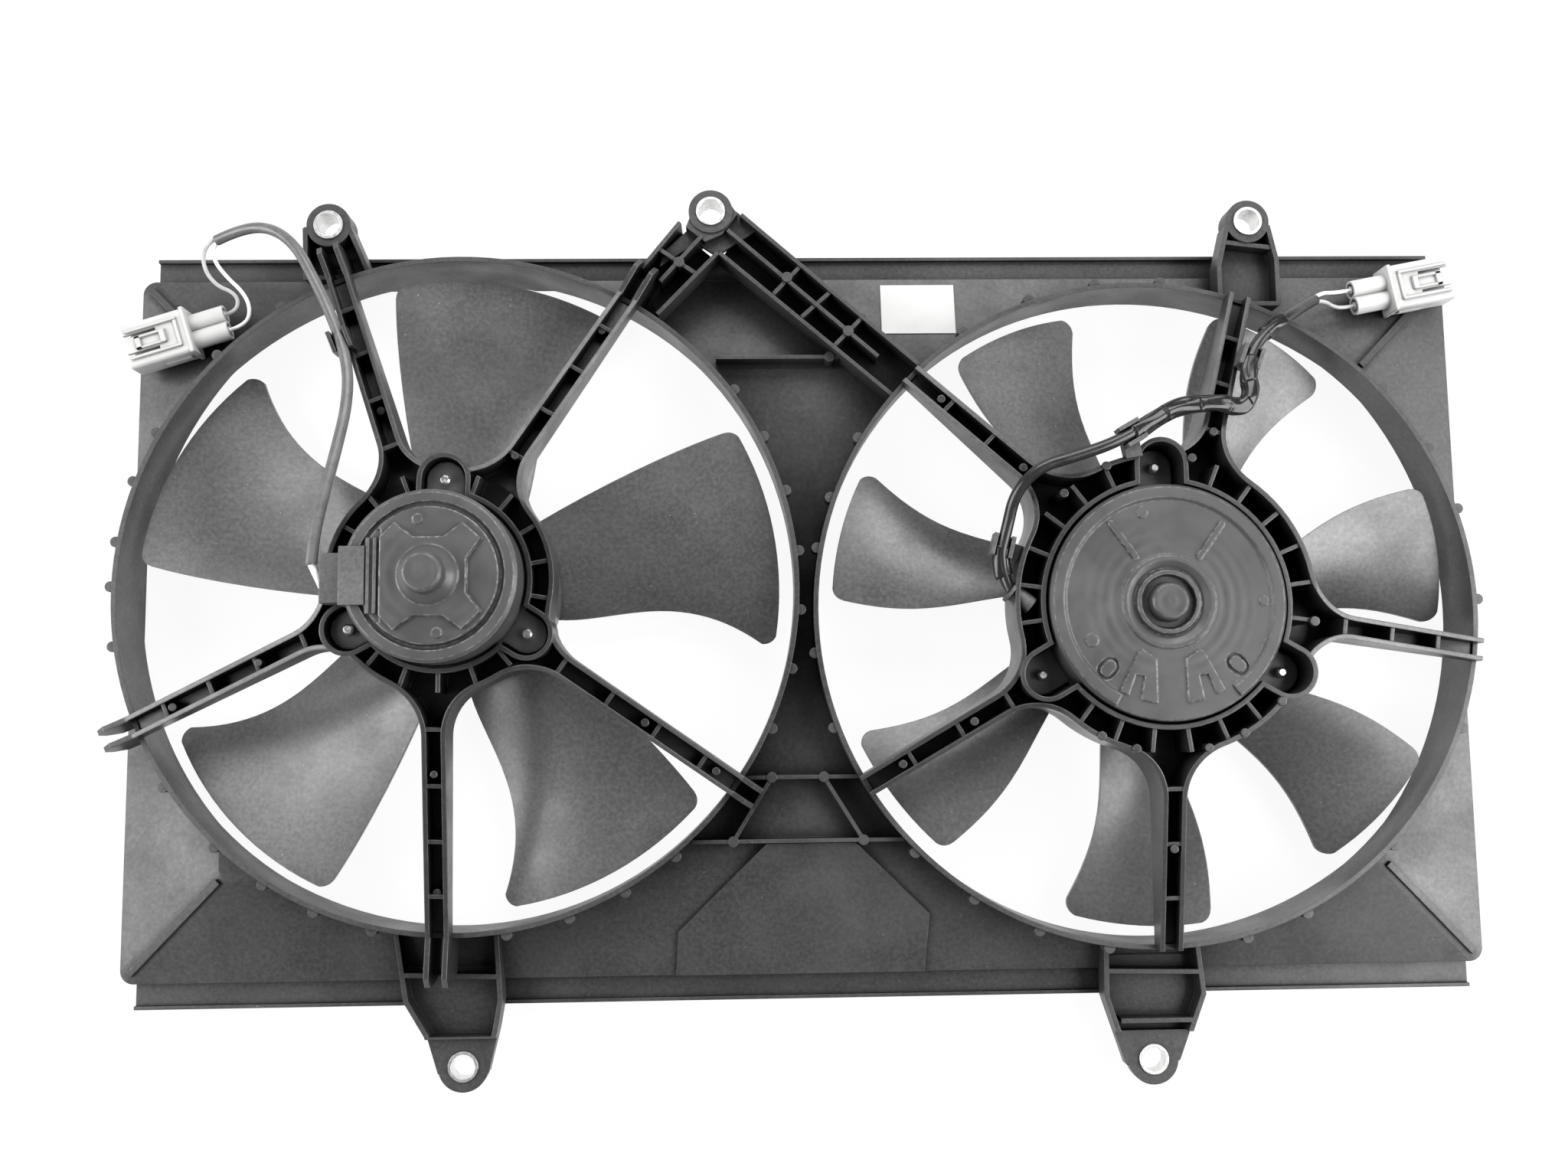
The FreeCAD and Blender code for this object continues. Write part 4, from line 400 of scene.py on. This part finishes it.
# ---------------------------------------------------------------- leads
LEAD_ROUTES = {  # millimetres
    "left_lead": (
        (-233.5, 29.4, 96.0), (-233.2, 45.0, 93.2), (-230.2, 65.0, 88.2), (-226.8, 87.0, 82.4),
        (-224.2, 110.0, 75.5), (-226.0, 132.0, 69.0), (-236.5, 158.0, 61.5), (-248.5, 181.0, 56.0),
        (-259.5, 199.5, 50.0), (-274.5, 211.0, 44.0), (-292.0, 212.0, 38.0), (-305.3, 207.4, 34.0),
    ),
    "left_wire_a": (
        (-305.7, 208.5, 34.0), (-310.2, 206.2, 33.2), (-313.2, 199.0, 32.0), (-311.5, 191.0, 30.6),
        (-306.0, 184.5, 29.2), (-299.0, 182.0, 27.6), (-295.8, 177.6, 26.4), (-297.7, 172.0, 25.6),
        (-302.7, 170.4, 25.7),
    ),
    "left_wire_b": (
        (-304.9, 206.3, 34.0), (-307.6, 203.8, 33.3), (-306.8, 196.5, 32.0), (-300.5, 188.5, 30.2),
        (-293.5, 182.0, 28.2), (-289.6, 174.2, 26.6), (-291.3, 164.8, 25.8), (-300.1, 162.1, 25.7),
    ),
    "right_lead": (
        (98.4, 17.0, 67.0), (93.0, 30.0, 67.0), (97.5, 47.5, 68.5), (100.5, 64.0, 76.0),
        (112.0, 76.0, 80.5), (130.0, 81.0, 80.5), (149.5, 87.5, 80.5), (167.0, 97.5, 78.5),
        (184.0, 107.0, 75.5), (203.0, 108.8, 73.0), (215.0, 106.5, 70.5), (223.5, 114.0, 68.5),
        (221.5, 127.0, 66.0), (227.0, 141.0, 64.0), (239.5, 152.5, 60.0), (250.5, 159.5, 53.5),
        (261.0, 166.5, 44.5), (269.8, 172.0, 37.5),
    ),
    "right_wire_a": (
        (269.1, 173.0, 37.5), (275.8, 177.2, 32.8), (283.5, 179.4, 26.4), (289.0, 180.4, 23.8),
        (295.7, 181.6, 23.4),
    ),
    "right_wire_b": (
        (270.5, 171.0, 37.5), (277.0, 173.2, 32.4), (284.5, 172.0, 26.1), (290.5, 171.7, 23.7),
        (297.3, 173.0, 23.4),
    ),
}
LEFT_PLUG = ("left_connector", "left_connector_ribs")
RIGHT_PLUG = ("right_connector", "right_connector_ribs")
LEADS = (
    # name, diameter and length in millimetres, far end, material, slot, pieces on it
    ("left_lead", 5.5, 236.7, "bare", SLEEVE_LEFT, "sleeve_plastic", ()),
    ("left_wire_a", 2.0, 52.8, "connector", GREY_WIRE, "grey_wire", LEFT_PLUG),
    ("left_wire_b", 2.0, 57.3, "connector", WHITE_WIRE, "white_wire", LEFT_PLUG),
    ("right_lead", 6.0, 274.8, "bare", SLEEVE_RIGHT, "sleeve_plastic", ()),
    ("right_wire_a", 2.0, 32.3, "connector", WHITE_WIRE, "white_wire", RIGHT_PLUG),
    ("right_wire_b", 2.0, 31.6, "connector", GREY_WIRE, "grey_wire", RIGHT_PLUG),
)


def add_lead(name, diameter, length, far_end, material, slot, on_it):
    route = [Vector(p) * MM for p in LEAD_ROUTES[name]]
    curve = bpy.data.curves.new(name + "_line", "CURVE")
    curve.dimensions = "3D"
    curve.bevel_depth = diameter / 2 * MM
    curve.bevel_resolution = 5
    curve.resolution_u = 10
    curve.use_fill_caps = True
    spline = curve.splines.new("NURBS")
    spline.points.add(len(route) - 1)
    for point, place in zip(spline.points, route):
        point.co = (*place, 1.0)
    spline.order_u = 3
    spline.use_endpoint_u = True
    curve.materials.append(material)
    piece = bpy.data.objects.new(name + "_round", curve)
    scene.collection.objects.link(piece)
    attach(piece, "shroud")
    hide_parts(name)


# ---------------------------------------------------------------- details
def add_piece(name, bm, material, smooth=True):
    """A piece that is built in the part's frame and belongs to the shroud."""
    mesh = bpy.data.meshes.new(name)
    bm.to_mesh(mesh)
    bm.free()
    for face in mesh.polygons:
        face.use_smooth = smooth
    mesh.materials.append(material)
    piece = bpy.data.objects.new(name, mesh)
    scene.collection.objects.link(piece)
    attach(piece, "shroud")


TAPED = ((1, 1, 3.5), (7, 12, 3.8), (14, 14, 3.4))  # first and last point, radius
TAPE_AROUND = 28  # points round the lead
TAPE_ALONG = 14  # rings of them to each bend of the route
TAPE_WIDE, TAPE_HIGH = 1.15, 0.85  # of its radius
TAPE_SEED = 1.7  # the creases' shift from one wrap to the next


def bend_points(before, corner, after, count):
    """Points and directions along the bend that a lead takes past one point of its route."""
    start, end = (before + corner) / 2, (corner + after) / 2
    for i in range(count):
        t = i / (count - 1)
        one, two = start.lerp(corner, t), corner.lerp(end, t)
        yield one.lerp(two, t), two - one


def creased(angle, ring, seed):
    """The tape's radius at that angle of that ring, as a share of its plain radius."""
    crease = 0.09 * math.sin(3 * angle + 0.12 * ring + seed)
    crease += 0.05 * math.sin(5 * angle - 0.2 * ring + 2 * seed)
    fold = 0.08 * math.sin(0.24 * ring + 2 * math.sin(angle + seed))
    fold += 0.03 * math.sin(0.5 * ring + 3 * angle)
    return 1.0 + crease + fold


def crumpled(route, first, last, radius, seed):
    """Loose tape round a lead, creased along and across."""
    bm = bmesh.new()
    rings = []
    for k in range(first, last + 1):
        points = [Vector(route[k + i]) * MM for i in (-1, 0, 1)]
        for place, along in bend_points(*points, TAPE_ALONG):
            side = along.cross(Vector((0, 0, 1))).normalized()
            up = side.cross(along).normalized()
            ring = []
            for i in range(TAPE_AROUND):
                a = math.tau * i / TAPE_AROUND
                r = radius * creased(a, len(rings), seed) * MM
                across = side * r * TAPE_WIDE * math.cos(a)
                ring.append(bm.verts.new(place + across + up * r * TAPE_HIGH * math.sin(a)))
            rings.append(ring)
    for one, two in zip(rings, rings[1:]):
        for i in range(TAPE_AROUND):
            j = (i + 1) % TAPE_AROUND
            bm.faces.new((one[i], one[j], two[j], two[i]))
    bm.faces.new(reversed(rings[0]))
    bm.faces.new(rings[-1])
    bmesh.ops.recalc_face_normals(bm, faces=bm.faces)
    return bm


for number, (first, last, radius) in enumerate(TAPED):
    tape = crumpled(LEAD_ROUTES["right_lead"], first, last, radius, TAPE_SEED * number)
    add_piece("tape_%d" % number, tape, TAPE)

# Ejector pips on the carriers: distance from the axis, angle, height of the top, radius
PIPS = {
    "left": (
        (92, 111.0, 66.5, 2.3), (150, 60.5, 51.0, 2.3), (148, 203.1, 51.5, 2.3),
        (96, 203.1, 70.5, 2.0), (118, 324.5, 62.0, 2.3), (150, 267.7, 51.0, 2.3),
        (92, 267.7, 71.5, 2.0), (160, 324.5, 49.0, 2.3), (70, 60.0, 79.0, 2.0),
    ),
    "right": (
        (73, 132.0, 73.8, 2.4), (73, 112.0, 73.8, 2.4), (73, 78.0, 73.8, 2.4),
        (73, 352.1, 73.8, 2.6), (73, 318.0, 73.8, 2.4), (73, 299.0, 73.8, 2.4),
        (73, 284.0, 73.8, 2.4), (73, 256.0, 73.8, 2.4), (73, 242.0, 73.8, 2.4),
        (110, 211.0, 63.5, 2.3), (150, 211.0, 52.0, 2.3), (120, 271.2, 61.0, 2.3),
        (96, 134.5, 67.0, 2.3), (150, 134.5, 52.0, 2.3), (90, 71.8, 69.0, 2.3),
    ),
}
PIP_ABOVE = 20.0  # where the search for its foot starts, over its top
PIP_SUNK = 0.5  # how deep its foot goes into the carrier
PIP_SHOWS = 0.6  # the least that stands out
PIP_TAPER = 0.3


def add_pip(bm, side, out, degrees, top, radius):
    """One pip on the carrier's floor or rib below it. Where there is neither, none is made."""
    x, y = FANS[side]
    turn = math.radians(degrees)
    above = Vector((x + out * math.cos(turn), y + out * math.sin(turn), top + PIP_ABOVE)) * MM
    carrier = parts[side + "_motor_carrier"]
    found, foot, _, _ = carrier.ray_cast(above, Vector((0, 0, -1)))
    if not found:
        return
    bottom = foot.z - PIP_SUNK * MM
    height = max(top * MM, foot.z + PIP_SHOWS * MM) - bottom
    bmesh.ops.create_cone(
        bm, cap_ends=True, segments=24, depth=height,
        radius1=radius * MM, radius2=(radius - PIP_TAPER) * MM,
        matrix=Matrix.Translation((above.x, above.y, bottom + height / 2)),
    )


def pips():
    """All the carriers' pips as one mesh."""
    bm = bmesh.new()
    for side, rows in PIPS.items():
        for row in rows:
            add_pip(bm, side, *row)
    return bm


add_piece("carrier_pips", pips(), CARRIER, smooth=False)

# side, place of the wires' end, heading in degrees
CONNECTORS = (("left", (-301.4, 166.2, 25.7), 197.2), ("right", (296.5, 177.3, 23.4), 10.9))
CONNECTOR_BEVEL = 0.3
# Blocks on a connector's top and sides: along it, across it and up, each as a pair of ends
CONNECTOR_BLOCKS = (
    ((18.3, 20.6), (-12.5, 12.5), (-7.9, 7.9)),
    ((23.0, 50.0), (6.4, 8.0), (7.3, 8.9)),
    ((23.0, 50.0), (-8.0, -6.4), (7.3, 8.9)),
    ((23.0, 25.0), (-8.0, 8.0), (7.3, 8.5)),
    ((30.0, 46.0), (-3.6, -2.2), (7.3, 8.8)),
    ((30.0, 46.0), (2.2, 3.6), (7.3, 8.8)),
    ((30.0, 33.0), (-3.6, 3.6), (7.3, 9.2)),
    ((43.0, 46.0), (-3.6, 3.6), (7.3, 8.8)),
    ((22.0, 36.0), (11.8, 13.0), (-2.0, 2.0)),
    ((22.0, 36.0), (-13.0, -11.8), (-2.0, 2.0)),
)


def connector_blocks(place, heading):
    """The collar, rails, latch and side ribs of one connector."""
    bm = bmesh.new()
    stand = Matrix.Translation(Vector(place) * MM) @ Matrix.Rotation(math.radians(heading), 4, "Z")
    for spans in CONNECTOR_BLOCKS:
        middle = Vector([(low + high) / 2 for low, high in spans]) * MM
        size = Vector([high - low for low, high in spans]) * MM
        shape = stand @ Matrix.Translation(middle) @ Matrix.Diagonal((*size, 1))
        block = bmesh.ops.create_cube(bm, size=1.0, matrix=shape)
        edges = {e for v in block["verts"] for e in v.link_edges}
        bmesh.ops.bevel(
            bm, geom=list(edges), offset=CONNECTOR_BEVEL * MM, segments=2, affect="EDGES"
        )
    return bm


for side, place, heading in CONNECTORS:
    ribs = connector_blocks(place, heading)
    add_piece(side + "_connector_ribs", ribs, PALE, smooth=False)

for lead in LEADS:
    add_lead(*lead)


# ---------------------------------------------------------------- studio
FLOOR_SIZE = 60.0
FLOOR_WHITE = 0.9
FLOOR_GLOW = 1.03
FLOOR_GLOW_SHARE = 0.9  # of what the camera sees, and of reflections
SKY_LIGHT, SKY_SEEN = 0.18, 1.0
SOFTBOXES = (  # name, place, size, watts
    ("left_softbox", (-1.3, 0.0, 0.75), (1.0, 1.2), 26.0),
    ("right_softbox", (1.2, -0.15, 0.85), (1.0, 1.3), 30.0),
    ("top_softbox", (0.15, 1.2, 0.95), (1.6, 0.8), 23.0),
    ("front_softbox", (-0.2, -1.5, 0.7), (1.6, 0.6), 1.5),
)


def add_floor():
    """A pale floor that glows where it is seen, so that it is as white as the backdrop."""
    low, _ = cad_bounds
    bpy.ops.mesh.primitive_plane_add(size=FLOOR_SIZE, location=(0, 0, low[2]))
    floor = bpy.context.object
    floor.name = "floor"
    s = Shader("floor")
    s.out.inputs["Base Color"].default_value = (FLOOR_WHITE, FLOOR_WHITE, FLOOR_WHITE, 1.0)
    s.out.inputs["Roughness"].default_value = 0.9
    s.out.inputs["Specular IOR Level"].default_value = 0.0
    glow = s.node("ShaderNodeEmission")
    glow.inputs["Strength"].default_value = FLOOR_GLOW
    mixed = s.node("ShaderNodeMixShader")
    rays = s.node("ShaderNodeLightPath")
    seen = s.math("MAXIMUM", rays.outputs["Is Camera Ray"], rays.outputs["Is Glossy Ray"])
    seen = s.math("MAXIMUM", seen, rays.outputs["Is Transmission Ray"])
    s.feed(mixed.inputs[0], s.math("MULTIPLY", seen, FLOOR_GLOW_SHARE))
    s.tree.links.new(s.out.outputs["BSDF"], mixed.inputs[1])
    s.tree.links.new(glow.outputs["Emission"], mixed.inputs[2])
    s.tree.links.new(mixed.outputs["Shader"], s.tree.nodes["Material Output"].inputs["Surface"])
    floor.data.materials.append(s.material)


def add_sky():
    """White to the camera and dim as a light."""
    world = bpy.data.worlds.new("studio")
    world.use_nodes = True
    scene.world = world
    sky = world.node_tree.nodes["Background"]
    sky.inputs["Color"].default_value = (1, 1, 1, 1)
    rays = world.node_tree.nodes.new("ShaderNodeLightPath")
    level = world.node_tree.nodes.new("ShaderNodeMapRange")
    level.inputs["To Min"].default_value = SKY_LIGHT
    level.inputs["To Max"].default_value = SKY_SEEN
    world.node_tree.links.new(rays.outputs["Is Camera Ray"], level.inputs["Value"])
    world.node_tree.links.new(level.outputs["Result"], sky.inputs["Strength"])


def add_softboxes():
    """Area lights that face the origin."""
    for name, place, size, power in SOFTBOXES:
        light = bpy.data.lights.new(name, "AREA")
        light.shape = "RECTANGLE"
        light.size, light.size_y = size
        light.energy = power
        lamp = bpy.data.objects.new(name, light)
        lamp.location = place
        lamp.rotation_euler = (-Vector(place)).to_track_quat("-Z", "Y").to_euler()
        scene.collection.objects.link(lamp)


add_floor()
add_sky()
add_softboxes()
